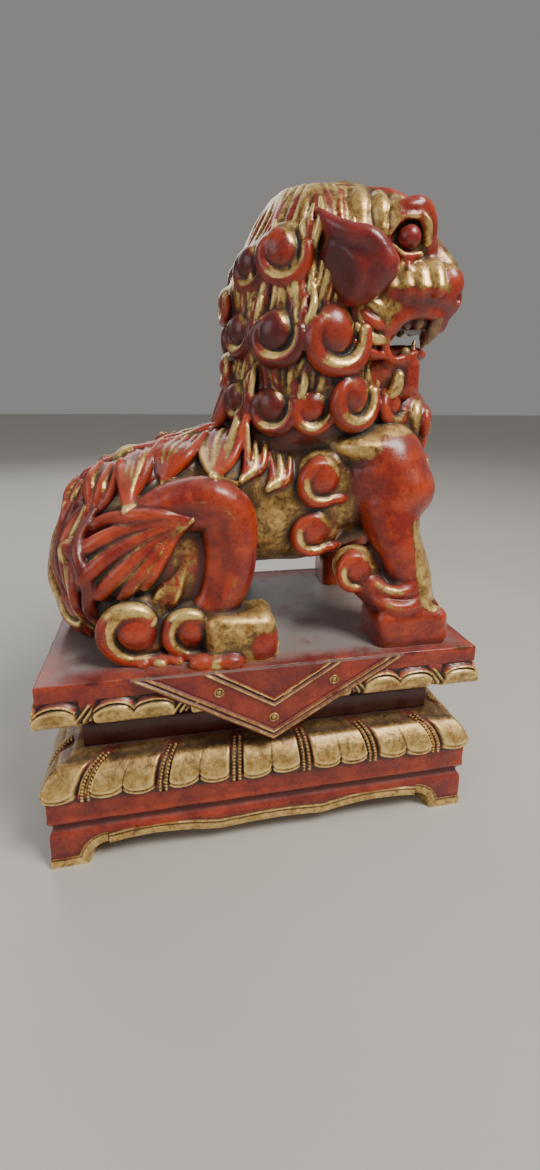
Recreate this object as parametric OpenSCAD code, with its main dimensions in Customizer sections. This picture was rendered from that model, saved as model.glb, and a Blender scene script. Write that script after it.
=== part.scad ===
// Seated guardian lion carved in wood, lacquered red and gilded, on a stepped plinth.
// Millimetres, +Z up. The lion looks towards +X and its right flank is on -Y.
// The origin is the middle of the plinth's footprint, on the surface it stands on.

/* [Plinth] */
// Length of the plinth over its feet, along the lion
base_l = 262; // [250:1:280]
// Width of the plinth over its feet
base_w = 154; // [148:1:166]
// Height of the bracket feet and apron
foot_h = 20; // [16:1:24]
// Height of the red frieze boards
frieze_h = 23; // [20:1:28]
// Height of the gilded petal moulding
moulding_h = 22; // [18:1:26]
// Height of the wide waist board
step_h = 15; // [12:1:20]
// Height of the narrow waist board
neck_h = 16; // [12:1:20]
// Thickness of the slab that the lion sits on
slab_h = 24; // [20:1:30]
// Height of the gilded border round the slab
border_h = 14; // [10:1:16]

/* [Pendants] */
// Half the width of a pendant at the slab's top edge
pendant_half = 80; // [60:1:90]
// Drop of a pendant's point below the slab's top
pendant_drop = 47; // [40:1:52]
// Thickness of a pendant
pendant_t = 3; // [2:0.5:5]

/* [Lion] */
// Turn of the head towards the lion's right, in degrees
head_turn = 20; // [0:1:30]
// Radius of the dowels that hold the paws to the slab
dowel_r = 4; // [3:0.5:5]
// Radius of an eye
eye_r = 7; // [5:0.5:9]

/* [Hidden] */

RED = "firebrick";
GOLD = "darkgoldenrod";
MAROON = "maroon";
BARE_WOOD = "burlywood";
RIGHT = -1;
LEFT = 1;
HEAD_END = 1;
TAIL_END = -1;

// Heights of the joints between the plinth's layers
frieze_z = foot_h;
moulding_z = frieze_z + frieze_h;
step_z = moulding_z + moulding_h;
neck_z = step_z + step_h;
slab_z = neck_z + neck_h;
top_z = slab_z + slab_h;
// Plinth sections
board_t = 10;
apron_proud = 0.5;
apron_low = 12;
foot_w = 21;
arch_r = 12;
arch_h = 14;
moulding_in = 16;
moulding_t = 19;
deck_t = 8;
step_in = 20;
neck_in = 25;
slab_l = base_l - 2;
slab_w = base_w + 2;
border_t = 4;
block = 16;
// Fixings
screw_r = 2;
screw_head_r = 4;
screw_x = 84;
screw_y = 32;
screw_bite = 12;
stud_r = 3;
stud_h = 1;
pin_r = 1;
pin_l = 2;
dowel_l = 24;
fine = 48;
form_fn = 14;
// Cut that keeps a hollow slightly clear of the curl that sits in it
seat = 0.4;

// ---------------------------------------------------------------- helpers

// Mirrors a right-hand piece, drawn on -Y, to the side asked for
module on_side(side) mirror([0, side == LEFT ? 1 : 0, 0]) children();

// Mirrors a piece drawn at the head end, on +X, to the end asked for
module on_end(end) mirror([end == TAIL_END ? 1 : 0, 0, 0]) children();

// Plan of everything nearer the right side than the ends, with 45 degree mitres
module side_wedge(l, w) {
    over = 12;
    translate([0, 0, -1]) linear_extrude(top_z + 2)
        polygon([[-l/2 - over, -w/2 - over], [l/2 + over, -w/2 - over], [(l - w)/2, 0], [-(l - w)/2, 0]]);
}

// Plan of everything nearer the head end than the sides
module end_wedge(l, w) {
    over = 12;
    translate([0, 0, -1]) linear_extrude(top_z + 2)
        polygon([[l/2 + over, -w/2 - over], [l/2 + over, w/2 + over], [(l - w)/2, 0]]);
}

// A profile drawn as [distance in from the edge, height], run along the right side and mitred
module side_run(l, w) {
    intersection() {
        translate([-l/2, -w/2, 0]) rotate([90, 0, 90]) linear_extrude(l) children();
        side_wedge(l, w);
    }
}

// The same profile run across the head end and mitred
module end_run(l, w) {
    intersection() {
        translate([l/2, w/2, 0]) rotate([90, 0, 0]) linear_extrude(w) mirror([1, 0]) children();
        end_wedge(l, w);
    }
}

// One rounded mass of the carving: each ball is [x, y, z, radius]
module mass(balls) {
    hull() for (b = balls) translate([b[0], b[1], b[2]]) sphere(b[3], $fn = form_fn);
}

// A limb or trunk: masses blended from each ball to the next
module chain(balls) {
    for (i = [0 : len(balls) - 2]) mass([balls[i], balls[i + 1]]);
}

// A snail curl facing -Y: raised boss and rolled rim, on a round stem
module curl(x, y, z, r, grow = 0) {
    translate([x, y, z]) rotate([90, 0, 0]) rotate_extrude($fn = fine)
        polygon(concat([[0, -r*0.7], [r*0.8 + grow, -r*0.7]],
            [for (a = [-60 : 15 : 90]) [(r + grow)*(0.72 + 0.28*cos(a)), (r*0.28 + grow)*sin(a)]],
            [for (a = [15 : 15 : 90]) [(r*0.55 + grow)*cos(a), r*0.2 + (r*0.25 + grow)*sin(a)]]));
}

module curls(list, grow = 0) for (c = list) curl(c[0], c[1], c[2], c[3], grow);

// ---------------------------------------------------------------- plinth

module foot(end, side) {
    color(GOLD) on_side(side) on_end(end) {
        bracket = [[0, 0], for (a = [180 : -15 : 90]) [foot_w + arch_r + arch_r*cos(a), arch_h*sin(a)],
            [foot_w + arch_r, foot_h], [0, foot_h]];
        translate([base_l/2, -base_w/2, 0]) rotate([90, 0, 180]) linear_extrude(board_t) polygon(bracket);
        translate([base_l/2 - board_t, -base_w/2, 0]) rotate([90, 0, 90]) linear_extrude(board_t)
            polygon(bracket);
    }
}

// Wavy lower edge of an apron, cusped every third of its length
function apron_outline(half) = concat([[-half, foot_h]],
    [for (i = [0 : 24]) let (u = -1 + i/12)
        [half*u, apron_low + 2.5*abs(cos(270*u)) - 1.5*cos(180*u)]],
    [[half, foot_h]]);

module apron_side(side) {
    half = base_l/2 - foot_w - arch_r;
    color(GOLD) on_side(side) translate([0, -base_w/2 + board_t, 0]) rotate([90, 0, 0])
        linear_extrude(board_t + apron_proud) polygon(apron_outline(half));
}

module apron_end(end) {
    half = base_w/2 - foot_w - arch_r;
    color(GOLD) on_end(end) translate([base_l/2 - board_t, 0, 0]) rotate([90, 0, 90])
        linear_extrude(board_t + apron_proud) polygon(apron_outline(half));
}

module frieze_profile() {
    groove_z = frieze_z + frieze_h*0.28;
    polygon([[board_t, frieze_z], [0, frieze_z], [0, groove_z - 2.5], [2.5, groove_z], [0, groove_z + 2.5],
        [0, moulding_z], [board_t, moulding_z]]);
}

module frieze_side(side) color(RED) on_side(side) side_run(base_l, base_w) frieze_profile();
module frieze_end(end) color(RED) on_end(end) end_run(base_l, base_w) frieze_profile();

// A bold quarter round that rolls over to the waist above
module moulding_profile() {
    steps = 12;
    rise = moulding_h - 2;
    polygon(concat([[moulding_t, moulding_z], [0, moulding_z]],
        [for (i = [0 : steps]) [moulding_in*(1 - cos(90*i/steps)), moulding_z + 2 + rise*sin(90*i/steps)]],
        [[moulding_t, step_z]]));
}

module moulding_side(side) color(GOLD) on_side(side) side_run(base_l, base_w) moulding_profile();
module moulding_end(end) color(GOLD) on_end(end) end_run(base_l, base_w) moulding_profile();

module glue_blocks() {
    x = base_l/2 - board_t - block;
    y = base_w/2 - board_t - block;
    color(BARE_WOOD) for (sx = [-1, 1], sy = [-1, 1])
        mirror([sx < 0 ? 1 : 0, 0, 0]) mirror([0, sy < 0 ? 1 : 0, 0])
            translate([x, y, frieze_z]) cube([block, block, step_z - deck_t - frieze_z - (moulding_h - deck_t)]);
}

// A board centred on the plinth, this far in from the feet's outer faces
module board(inset, z, h) {
    translate([-base_l/2 + inset, -base_w/2 + inset, z]) cube([base_l - 2*inset, base_w - 2*inset, h]);
}

module screw_holes(z, h) {
    for (sx = [-1, 1], sy = [-1, 1])
        translate([sx*screw_x, sy*screw_y, z]) cylinder(r = screw_r, h = h, $fn = fine);
}

module lower_deck() {
    color(RED) difference() {
        board(moulding_t, step_z - deck_t, deck_t);
        screw_holes(step_z - deck_t - 1, deck_t + 2);
    }
}

module waist_step() {
    color(MAROON) difference() {
        board(step_in, step_z, step_h);
        screw_holes(step_z - 1, step_h + 2);
    }
}

module waist_neck() {
    color(MAROON) difference() {
        board(neck_in, neck_z, neck_h);
        screw_holes(neck_z - 1, neck_h + 2);
    }
}

// Pan-head wood screws, driven up through the plinth's boards into the slab
module plinth_screws() {
    low = step_z - deck_t;
    color("silver") for (sx = [-1, 1], sy = [-1, 1]) translate([sx*screw_x, sy*screw_y, 0]) {
        translate([0, 0, low]) cylinder(r = screw_r, h = slab_z + screw_bite - low, $fn = fine);
        translate([0, 0, low - 2.5]) cylinder(r1 = screw_head_r*0.7, r2 = screw_head_r, h = 2.5, $fn = fine);
    }
}

// Where each paw is pinned: [x, y], on the right
PAW_PINS = [[94, -53], [-13, -50]];

module paw_dowels(grow = 0) {
    color(BARE_WOOD) for (p = PAW_PINS, side = [RIGHT, LEFT]) on_side(side)
        translate([p[0], p[1], top_z - dowel_l/2 - grow])
            cylinder(r = dowel_r + grow, h = dowel_l + 2*grow, $fn = fine);
}

module slab() {
    rebate = border_t;
    color(RED) difference() {
        translate([-slab_l/2, -slab_w/2, slab_z]) cube([slab_l, slab_w, slab_h]);
        difference() {
            translate([-slab_l, -slab_w, slab_z - 1]) cube([2*slab_l, 2*slab_w, border_h + 1]);
            translate([-slab_l/2 + rebate, -slab_w/2 + rebate, slab_z - 2])
                cube([slab_l - 2*rebate, slab_w - 2*rebate, border_h + 4]);
        }
        screw_holes(slab_z - 1, screw_bite + 1);
        paw_dowels();
    }
}

module border_profile() {
    roll = 3;
    polygon(concat([[border_t, slab_z], [roll, slab_z]],
        [for (a = [270 : -15 : 180]) [roll + roll*cos(a), slab_z + roll + roll*sin(a)]],
        [[0, slab_z + border_h - 2], [1, slab_z + border_h], [border_t, slab_z + border_h]]));
}

module pendant_plate(grow = 0) {
    translate([0, -slab_w/2, 0]) rotate([90, 0, 0]) linear_extrude(pendant_t)
        polygon([[-pendant_half - grow, top_z], [pendant_half + grow, top_z], [0, top_z - pendant_drop - grow]]);
}

module border_side(side) color(GOLD) on_side(side) side_run(slab_l, slab_w) border_profile();

module border_end(end) color(GOLD) on_end(end) end_run(slab_l, slab_w) border_profile();

// Where the studs sit on a pendant: [x, depth below the slab's top]
STUDS = [[-32, 12], [36, 11], [0, 32]];

module stud(p) {
    translate([p[0], -slab_w/2 - pendant_t, top_z - p[1]]) rotate([90, 0, 0]) difference() {
        union() {
            translate([0, 0, -pin_l]) cylinder(r = pin_r, h = pin_l, $fn = fine);
            cylinder(r = stud_r, h = stud_h, $fn = fine);
        }
        translate([0, 0, stud_h/2]) cylinder(r = stud_r*0.55, h = stud_h, $fn = fine);
    }
}

// The blind hole that a stud's pin is glued into
module stud_hole(p) {
    translate([p[0], -slab_w/2 - pendant_t, top_z - p[1]]) rotate([90, 0, 0])
        translate([0, 0, -pin_l]) cylinder(r = pin_r, h = pin_l + 1, $fn = fine);
}

module pendant(side) {
    color(RED) on_side(side) difference() {
        pendant_plate();
        for (p = STUDS) stud_hole(p);
    }
}

module pendant_studs() {
    color(GOLD) for (side = [RIGHT, LEFT]) on_side(side) for (p = STUDS) stud(p);
}

// ---------------------------------------------------------------- lion

// Balls are [x, y, z, radius], drawn for the right side where a piece has two
TRUNK = [[-76, 0, 170, 50], [-62, 0, 188, 50], [-24, 0, 206, 45], [25, 0, 208, 46], [76, 0, 218, 48]];
THIGH = [[-86, -30, 166, 31], [-36, -38, 203, 26]];
SHIN = [[-36, -42, 203, 23], [-24, -46, 150, 16]];
HAM = [[-70, -36, 164, 27], [-34, -40, 180, 20], [-28, -44, 150, 14]];
HIND_PAW = [[-22, -49, 134, 13], [-8, -50, 132, 13]];
LEG = [[78, -40, 220, 29], [81, -46, 188, 21], [97, -51, 152, 15]];
FOREPAW = [[82, -54, 134, 15], [107, -54, 134, 15]];
MANE = [[36, 0, 274, 48], [34, 0, 316, 48], [42, -2, 344, 44]];
CREST = [for (i = [0 : 7]) let (u = i/7) [-114 + 94*u, 0, 200 + 51*sin(90*u), 9]];
TAIL = [[-116, 0, 186, 12], [-119, -2, 158, 11], [-108, -8, 136, 15]];
// Curls are [x, y, z, radius]
MANE_CURLS = [[8, -42, 343, 17], [4, -44, 303, 19], [40, -50, 302, 21],
    [0, -42, 265, 17], [25, -48, 263, 15], [54, -52, 268, 20]];
BACK_CURLS = [[-14, -22, 330, 13], [-16, -22, 290, 13]];
HOCK_CURLS = [[-77, -60, 143, 22], [-43, -62, 139, 18]];
ELBOW_CURLS = [[35, -50, 223, 18], [33, -50, 190, 16], [54, -52, 166, 15]];
CHEST = [[112, -16, 256, 11], [122, 0, 240, 11], [112, 16, 256, 11]];
HEAD_POS = [50, -4, 340];

module head_frame() translate(HEAD_POS) rotate([0, 0, -head_turn]) children();

// Keeps a paw or the rump flat on the slab
module above_slab() {
    difference() {
        children();
        translate([-200, -200, top_z - 100]) cube([400, 400, 100]);
    }
}

module haunch_form(side) {
    on_side(side) above_slab() {
        chain(THIGH);
        chain(SHIN);
        mass(HAM);
    }
}

module hind_paw_form(side) {
    on_side(side) above_slab() {
        chain(HIND_PAW);
        for (toe = [-1 : 1]) mass([[-8, -50 + 9*toe, 131, 8], [0, -50 + 9*toe, 128, 7]]);
    }
}

module foreleg_form(side) {
    on_side(side) above_slab() {
        chain(LEG);
        chain(FOREPAW);
        for (toe = [-1 : 1]) mass([[107, -54 + 9*toe, 132, 8], [116, -54 + 9*toe, 129, 8]]);
    }
}

module tail_form() above_slab() chain(TAIL);
module crest_form() chain(CREST);

module skull_form() {
    head_frame() {
        mass([[16, 0, 12, 38], [30, 0, -4, 33]]);
        mass([[38, -17, 30, 14], [38, 17, 30, 14], [49, 0, 35, 11]]);
        mass([[0, -12, 36, 14], [0, 12, 36, 14], [44, 0, 36, 12]]);
        mass([[36, -20, -14, 16], [36, 20, -14, 16], [63, -9, -13, 14], [63, 9, -13, 14]]);
    }
}

module jaw_form() head_frame() mass([[28, -14, -54, 12], [28, 14, -54, 12], [50, -8, -58, 9], [50, 8, -58, 9]]);

module ear_form(side) {
    head_frame() on_side(side)
        mass([[0, -42, 14, 5], [24, -46, 6, 8], [28, -48, -8, 8], [14, -50, -14, 7]]);
}

module eye_form(side) head_frame() on_side(side) translate([41, -24, 15]) sphere(eye_r, $fn = fine);

// Two fangs and three front teeth hang from the muzzle, and two fangs stand in the jaw
module teeth_form() {
    head_frame() {
        for (y = [-15, 15]) mass([[58, y, -27, 3.5], [58, y, -38, 1]]);
        for (y = [-7, 0, 7]) mass([[66, y, -25, 3.5], [66, y, -30, 2.5]]);
        for (y = [-12, 12]) mass([[52, y, -52, 3.5], [54, y, -43, 1]]);
    }
}

module mane_curl_group(side, grow = 0) {
    on_side(side) curls(MANE_CURLS, grow);
    for (c = BACK_CURLS) on_side(side) translate([c[0], c[1], c[2]]) rotate([0, 0, -60]) curl(0, 0, 0, c[3], grow);
}

module chest_curl_form(grow = 0) {
    for (c = CHEST) translate([c[0], c[1], c[2]]) rotate([0, 0, 90 + c[1]]) curl(0, 0, 0, c[3], grow);
}

module all_curls(side) {
    mane_curl_group(side, seat);
    on_side(side) { curls(HOCK_CURLS, seat); curls(ELBOW_CURLS, seat); }
}

module torso() {
    color(GOLD) difference() {
        above_slab() chain(TRUNK);
        for (side = [RIGHT, LEFT]) {
            haunch_form(side);
            foreleg_form(side);
            all_curls(side);
        }
        chain(MANE);
        chest_curl_form(seat);
        crest_form();
        tail_form();
    }
}

module haunch(side) {
    color(GOLD) difference() {
        haunch_form(side);
        hind_paw_form(side);
        tail_form();
        all_curls(side);
        on_side(side) translate([-200, 0, 0]) cube([400, 200, 400]);
    }
}

module hind_paw(side) color(GOLD) difference() { hind_paw_form(side); all_curls(side); paw_dowels(); }

module foreleg(side) {
    color(RED) difference() {
        foreleg_form(side);
        chain(MANE);
        chest_curl_form(seat);
        all_curls(side);
        paw_dowels();
    }
}

module mane() {
    color(GOLD) difference() {
        chain(MANE);
        skull_form();
        jaw_form();
        for (side = [RIGHT, LEFT]) { ear_form(side); all_curls(side); }
    }
}

module head() {
    color(GOLD) difference() {
        skull_form();
        jaw_form();
        teeth_form();
        for (side = [RIGHT, LEFT]) { ear_form(side); eye_form(side); mane_curl_group(side, seat); }
    }
}

module lower_jaw() {
    color(RED) difference() {
        jaw_form();
        teeth_form();
        for (side = [RIGHT, LEFT]) mane_curl_group(side, seat);
        head_frame() translate([44, 0, -46]) scale([1, 0.8, 0.5]) sphere(12, $fn = form_fn);
    }
}

module back_crest() color(RED) difference() { crest_form(); chain(MANE); tail_form(); }
module tail() color(RED) tail_form();
module teeth() color("ivory") teeth_form();
module ear(side) color(MAROON) difference() { ear_form(side); mane_curl_group(side, seat); }
module eye(side) color(RED) eye_form(side);
module hock_curls(side) color(RED) above_slab() on_side(side) curls(HOCK_CURLS);
module elbow_curls(side) color(RED) on_side(side) curls(ELBOW_CURLS);
module mane_curls(side) color(RED) mane_curl_group(side);
module chest_curls() color(RED) chest_curl_form();

// ---------------------------------------------------------------- nodes

foot(HEAD_END, RIGHT);  // foot_head_right
foot(HEAD_END, LEFT);  // foot_head_left
foot(TAIL_END, RIGHT);  // foot_tail_right
foot(TAIL_END, LEFT);  // foot_tail_left
apron_side(RIGHT);  // apron_right
apron_side(LEFT);  // apron_left
apron_end(HEAD_END);  // apron_head_end
apron_end(TAIL_END);  // apron_tail_end
frieze_side(RIGHT);  // frieze_right
frieze_side(LEFT);  // frieze_left
frieze_end(HEAD_END);  // frieze_head_end
frieze_end(TAIL_END);  // frieze_tail_end
moulding_side(RIGHT);  // petal_moulding_right
moulding_side(LEFT);  // petal_moulding_left
moulding_end(HEAD_END);  // petal_moulding_head_end
moulding_end(TAIL_END);  // petal_moulding_tail_end
glue_blocks();
lower_deck();
waist_step();
waist_neck();
plinth_screws();
slab();
border_side(RIGHT);  // border_right
border_side(LEFT);  // border_left
border_end(HEAD_END);  // border_head_end
border_end(TAIL_END);  // border_tail_end
pendant(RIGHT);  // pendant_right
pendant(LEFT);  // pendant_left
pendant_studs();
paw_dowels();
torso();
back_crest();
tail();
haunch(RIGHT);  // haunch_right
haunch(LEFT);  // haunch_left
hind_paw(RIGHT);  // hind_paw_right
hind_paw(LEFT);  // hind_paw_left
hock_curls(RIGHT);  // hock_curls_right
hock_curls(LEFT);  // hock_curls_left
foreleg(RIGHT);  // foreleg_right
foreleg(LEFT);  // foreleg_left
elbow_curls(RIGHT);  // elbow_curls_right
elbow_curls(LEFT);  // elbow_curls_left
chest_curls();
mane();
mane_curls(RIGHT);  // mane_curls_right
mane_curls(LEFT);  // mane_curls_left
head();
lower_jaw();
teeth();
ear(RIGHT);  // ear_right
ear(LEFT);  // ear_left
eye(RIGHT);  // eye_right
eye(LEFT);  // eye_left
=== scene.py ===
"""A seated guardian lion, carved in wood, lacquered red and gilded, on its stepped plinth.

The lion is carved from blocks of cells: each cell holds its distance from the wood's surface, whose wood it
is, and how much gold lies on it. Shapes are joined and cut away in that block, and each piece is then lifted
out of it as a mesh. The plinth's boards are meshes with their carving worked out along them.
Sizes are millimetres until a mesh is made. +X is the way the lion's body faces, and its right flank is on -Y.
"""
import math

import bpy
import numpy as np
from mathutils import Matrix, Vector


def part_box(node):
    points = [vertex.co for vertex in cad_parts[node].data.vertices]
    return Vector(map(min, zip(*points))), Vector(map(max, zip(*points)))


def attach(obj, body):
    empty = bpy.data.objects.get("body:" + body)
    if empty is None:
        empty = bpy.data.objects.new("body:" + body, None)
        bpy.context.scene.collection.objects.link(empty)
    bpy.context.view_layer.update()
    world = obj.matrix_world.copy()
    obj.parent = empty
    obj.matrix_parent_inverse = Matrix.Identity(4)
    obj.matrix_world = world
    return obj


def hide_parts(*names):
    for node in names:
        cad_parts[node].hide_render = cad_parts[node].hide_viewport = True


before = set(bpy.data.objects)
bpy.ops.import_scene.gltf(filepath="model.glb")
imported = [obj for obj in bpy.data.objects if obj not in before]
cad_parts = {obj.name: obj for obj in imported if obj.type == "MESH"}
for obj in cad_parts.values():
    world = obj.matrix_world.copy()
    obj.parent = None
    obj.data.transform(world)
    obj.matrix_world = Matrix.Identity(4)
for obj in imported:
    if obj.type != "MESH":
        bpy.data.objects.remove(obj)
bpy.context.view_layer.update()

import openvdb
from mathutils import Matrix, Vector

MM = 0.001
RIGHT, LEFT = -1, 1
SIDES = ((RIGHT, "right"), (LEFT, "left"))
BODY = "root"


def node_box(node):
    """A CAD node's lowest and highest corners, in millimetres."""
    low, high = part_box(node)
    return np.array(low) / MM, np.array(high) / MM


SLAB_LOW, SLAB_HIGH = node_box("slab")
SLAB_TOP = float(SLAB_HIGH[2])

# ------------------------------------------------------------------------------------- the block


def unit(v):
    v = np.array(v, float)
    return v / np.linalg.norm(v)


def smooth_path(points, steps=5):
    """A curve through the points, each [x, y, z, radius], with this many steps from one to the next."""
    p = np.array(points, float)
    if len(p) == 2:
        return p[0] + (p[1] - p[0]) * np.linspace(0, 1, steps + 1)[:, None]
    p = np.vstack([2 * p[0] - p[1], p, 2 * p[-1] - p[-2]])
    out = []
    for a, b, c, d in zip(p[:-3], p[1:-2], p[2:-1], p[3:]):
        for t in np.arange(steps) / steps:
            out.append(0.5 * (2 * b + (c - a) * t + (2 * a - 5 * b + 4 * c - d) * t**2
                              + (3 * b - a - 3 * c + d) * t**3))
    out = np.array(out + [p[-2]])
    out[:, 3] = np.maximum(out[:, 3], 0.4)
    return out


def egg(centre, radii, turn=None):
    """An ellipsoid. turn is a matrix whose rows are its own three axes."""
    c, r = np.array(centre, float), np.array(radii, float)
    reach = r if turn is None else np.full(3, r.max())

    def distance(x, y, z):
        p = (x - c[0], y - c[1], z - c[2])
        if turn is not None:
            p = tuple(m[0] * p[0] + m[1] * p[1] + m[2] * p[2] for m in turn)
        near = np.sqrt(sum((p[i] / r[i]) ** 2 for i in range(3)))
        slope = np.sqrt(sum((p[i] / r[i] ** 2) ** 2 for i in range(3)))
        return near * (near - 1) / (slope + 1e-6)

    return c - reach, c + reach, distance


def limb(points, flat=(1, 1, 1)):
    """Round rods end to end through points, each [x, y, z, radius]. flat above 1 thins it on that axis."""
    p = np.array(points, float)
    f = np.array(flat, float)
    low = (p[:, :3] - p[:, 3:]).min(0)
    high = (p[:, :3] + p[:, 3:]).max(0)

    def distance(x, y, z):
        best = None
        for a, b in zip(p[:-1], p[1:]):
            run = (b - a)[:3] * f
            length = max((run * run).sum(), 1e-6)
            dx, dy, dz = (x - a[0]) * f[0], (y - a[1]) * f[1], (z - a[2]) * f[2]
            t = np.clip((dx * run[0] + dy * run[1] + dz * run[2]) / length, 0, 1)
            d = np.sqrt((dx - run[0] * t) ** 2 + (dy - run[1] * t) ** 2 + (dz - run[2] * t) ** 2)
            d = (d - a[3] - (b[3] - a[3]) * t) / f.max() ** 0.5
            best = d if best is None else np.minimum(best, d)
        return best

    return low, high, distance


def box(centre, half, rounding):
    """A box with rounded edges."""
    c, h = np.array(centre, float), np.array(half, float)

    def distance(x, y, z):
        q = [np.abs(v - c[i]) - h[i] + rounding for i, v in enumerate((x, y, z))]
        beyond = np.sqrt(sum(np.maximum(v, 0) ** 2 for v in q))
        return beyond + np.minimum(np.maximum(np.maximum(q[0], q[1]), q[2]), 0) - rounding

    return c - h, c + h, distance


def slab_cut(point, outward, low, high):
    """Everything on the outward side of a plane, inside the box given."""
    n = unit(outward)
    c = np.array(point, float)

    def distance(x, y, z):
        return -((x - c[0]) * n[0] + (y - c[1]) * n[1] + (z - c[2]) * n[2])

    return np.array(low, float), np.array(high, float), distance


def blurred(a, reach):
    """The mean of a over a cube of cells, reach cells to each side, three axes in turn."""
    for axis in range(3):
        pad = [(0, 0)] * 3
        pad[axis] = (reach + 1, reach)
        run = np.cumsum(np.pad(a, pad, mode="edge"), axis=axis, dtype=np.float64)
        n = a.shape[axis]
        ahead = np.take(run, np.arange(2 * reach + 1, 2 * reach + 1 + n), axis=axis)
        a = ((ahead - np.take(run, np.arange(n), axis=axis)) / (2 * reach + 1)).astype(np.float32)
    return a


FAR = 30.0    # how far from wood the cells of an empty block are taken to be


class Block:
    """Wood to carve, held as cells."""

    def __init__(self, low, high, cell):
        self.low = np.array(low, float)
        self.cell = cell
        self.count = np.round((np.array(high) - self.low) / cell).astype(int) + 1
        self.axis = [(self.low[i] + cell * np.arange(self.count[i])).astype(np.float32) for i in range(3)]
        self.wood = np.full(self.count, FAR, np.float32)
        self.nearest = self.wood.copy()
        self.owner = np.zeros(self.count, np.uint8)
        self.gilt = np.zeros(self.count, np.float32)
        self.owners = {}

    def window(self, low, high, margin):
        """The cells of a box with a margin round it, and their places on each axis."""
        first = np.floor((np.array(low) - margin - self.low) / self.cell).astype(int)
        last = np.ceil((np.array(high) + margin - self.low) / self.cell).astype(int) + 1
        at = tuple(slice(max(0, a), max(0, min(n, b))) for a, b, n in zip(first, last, self.count))
        x, y, z = (self.axis[i][at[i]] for i in range(3))
        return at, x[:, None, None], y[None, :, None], z[None, None, :]

    def join(self, shape, owner, gilt=0.0, soft=2.0):
        """Adds a shape, with a fillet of about soft. gilt is a number, or a function of the cells' places."""
        low, high, distance = shape
        at, x, y, z = self.window(low, high, soft + 3)
        if 0 in self.wood[at].shape:
            return
        d = distance(x, y, z)
        wood = self.wood[at]
        share = np.clip(0.5 + 0.5 * (wood - d) / soft, 0, 1)
        paint = gilt(x, y, z) if callable(gilt) else gilt
        self.wood[at] = wood * (1 - share) + d * share - soft * share * (1 - share)
        self.gilt[at] = self.gilt[at] * (1 - share) + paint * share
        number = self.owners.setdefault(owner, len(self.owners) + 1)
        mine = d < self.nearest[at]
        self.owner[at][mine] = number
        self.nearest[at] = np.minimum(self.nearest[at], d)

    def cut(self, shape, gilt=None, soft=2.0):
        """Carves a shape away, and paints the cut if gilt is given."""
        low, high, distance = shape
        at, x, y, z = self.window(low, high, soft + 3)
        if 0 in self.wood[at].shape:
            return
        d = -distance(x, y, z)
        wood = self.wood[at]
        share = np.clip(0.5 - 0.5 * (wood - d) / soft, 0, 1)
        self.wood[at] = wood * (1 - share) + d * share + soft * share * (1 - share)
        if gilt is not None:
            self.gilt[at] = self.gilt[at] * (1 - share) + gilt * share

    def brush(self, shape, gilt, soft=0.8):
        """Paints the cells in a shape, and no others."""
        low, high, distance = shape
        at, x, y, z = self.window(low, high, soft + 1)
        if 0 in self.wood[at].shape:
            return
        share = np.clip(0.5 - distance(x, y, z) / soft, 0, 1)
        self.gilt[at] = self.gilt[at] * (1 - share) + gilt * share

    def skin(self, heart, way, reach=110):
        """Where a line from far outside, along -way to heart, first meets wood."""
        heart, way = np.array(heart, float), unit(way)
        t = np.arange(reach, 0, -self.cell / 2)
        p = heart + way * t[:, None]
        i = np.clip(np.round((p - self.low) / self.cell).astype(int), 0, self.count - 1)
        inside = self.wood[i[:, 0], i[:, 1], i[:, 2]] < 0
        return p[int(np.argmax(inside))] if inside.any() else heart

    def fields(self):
        """What the meshes read from each cell of both halves: ridge is how proud it lies, hollow how deep."""
        half = {"wood": self.wood, "owner": self.owner, "gilt": self.gilt,
                "ridge": blurred(self.wood, 2) - self.wood, "hollow": blurred(self.wood, 6) - self.wood}
        # the block's last layer along Y is the lion's middle plane
        return {name: np.concatenate([a, a[:, -2::-1, :]], axis=1) for name, a in half.items()}


SEAM = 1.5        # how far a piece runs on under its neighbour
SEAM_DIP = 0.3    # how far it dips there
SEAM_BLUR = 2     # cells to each side that the edge of a piece's own wood is smoothed over
SURFACE = 3       # how near a surface the cells are that a mesh is lifted from
PAD = 6           # cells kept round a piece
LAYERS = ("gilt", "ridge", "hollow")


def sample(a, index):
    """Reads a between its cells at places given in cells."""
    i = np.clip(np.floor(index).astype(int), 0, np.array(a.shape) - 2)
    t = np.clip(index - i, 0, 1)
    out = 0
    for corner in range(8):
        o = np.array([corner & 1, corner >> 1 & 1, corner >> 2 & 1])
        w = np.prod(np.where(o, t, 1 - t), axis=1)
        out = out + w * a[tuple((i + o).T)]
    return out


def hand_shake(p):
    """The small unevenness of work cut by hand, in millimetres, for places in millimetres."""
    x, y, z = p.T
    return np.stack([0.5 * np.sin(z / 9 + y / 13) + 0.35 * np.sin(y / 5.5 + 1 + z / 17),
                     0.5 * np.sin(x / 10 + z / 12 + 2) + 0.3 * np.sin(z / 6 + x / 15),
                     0.4 * np.sin(x / 8 + y / 11) + 0.3 * np.sin(y / 7 + 2 + x / 6)], axis=1)


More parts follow.
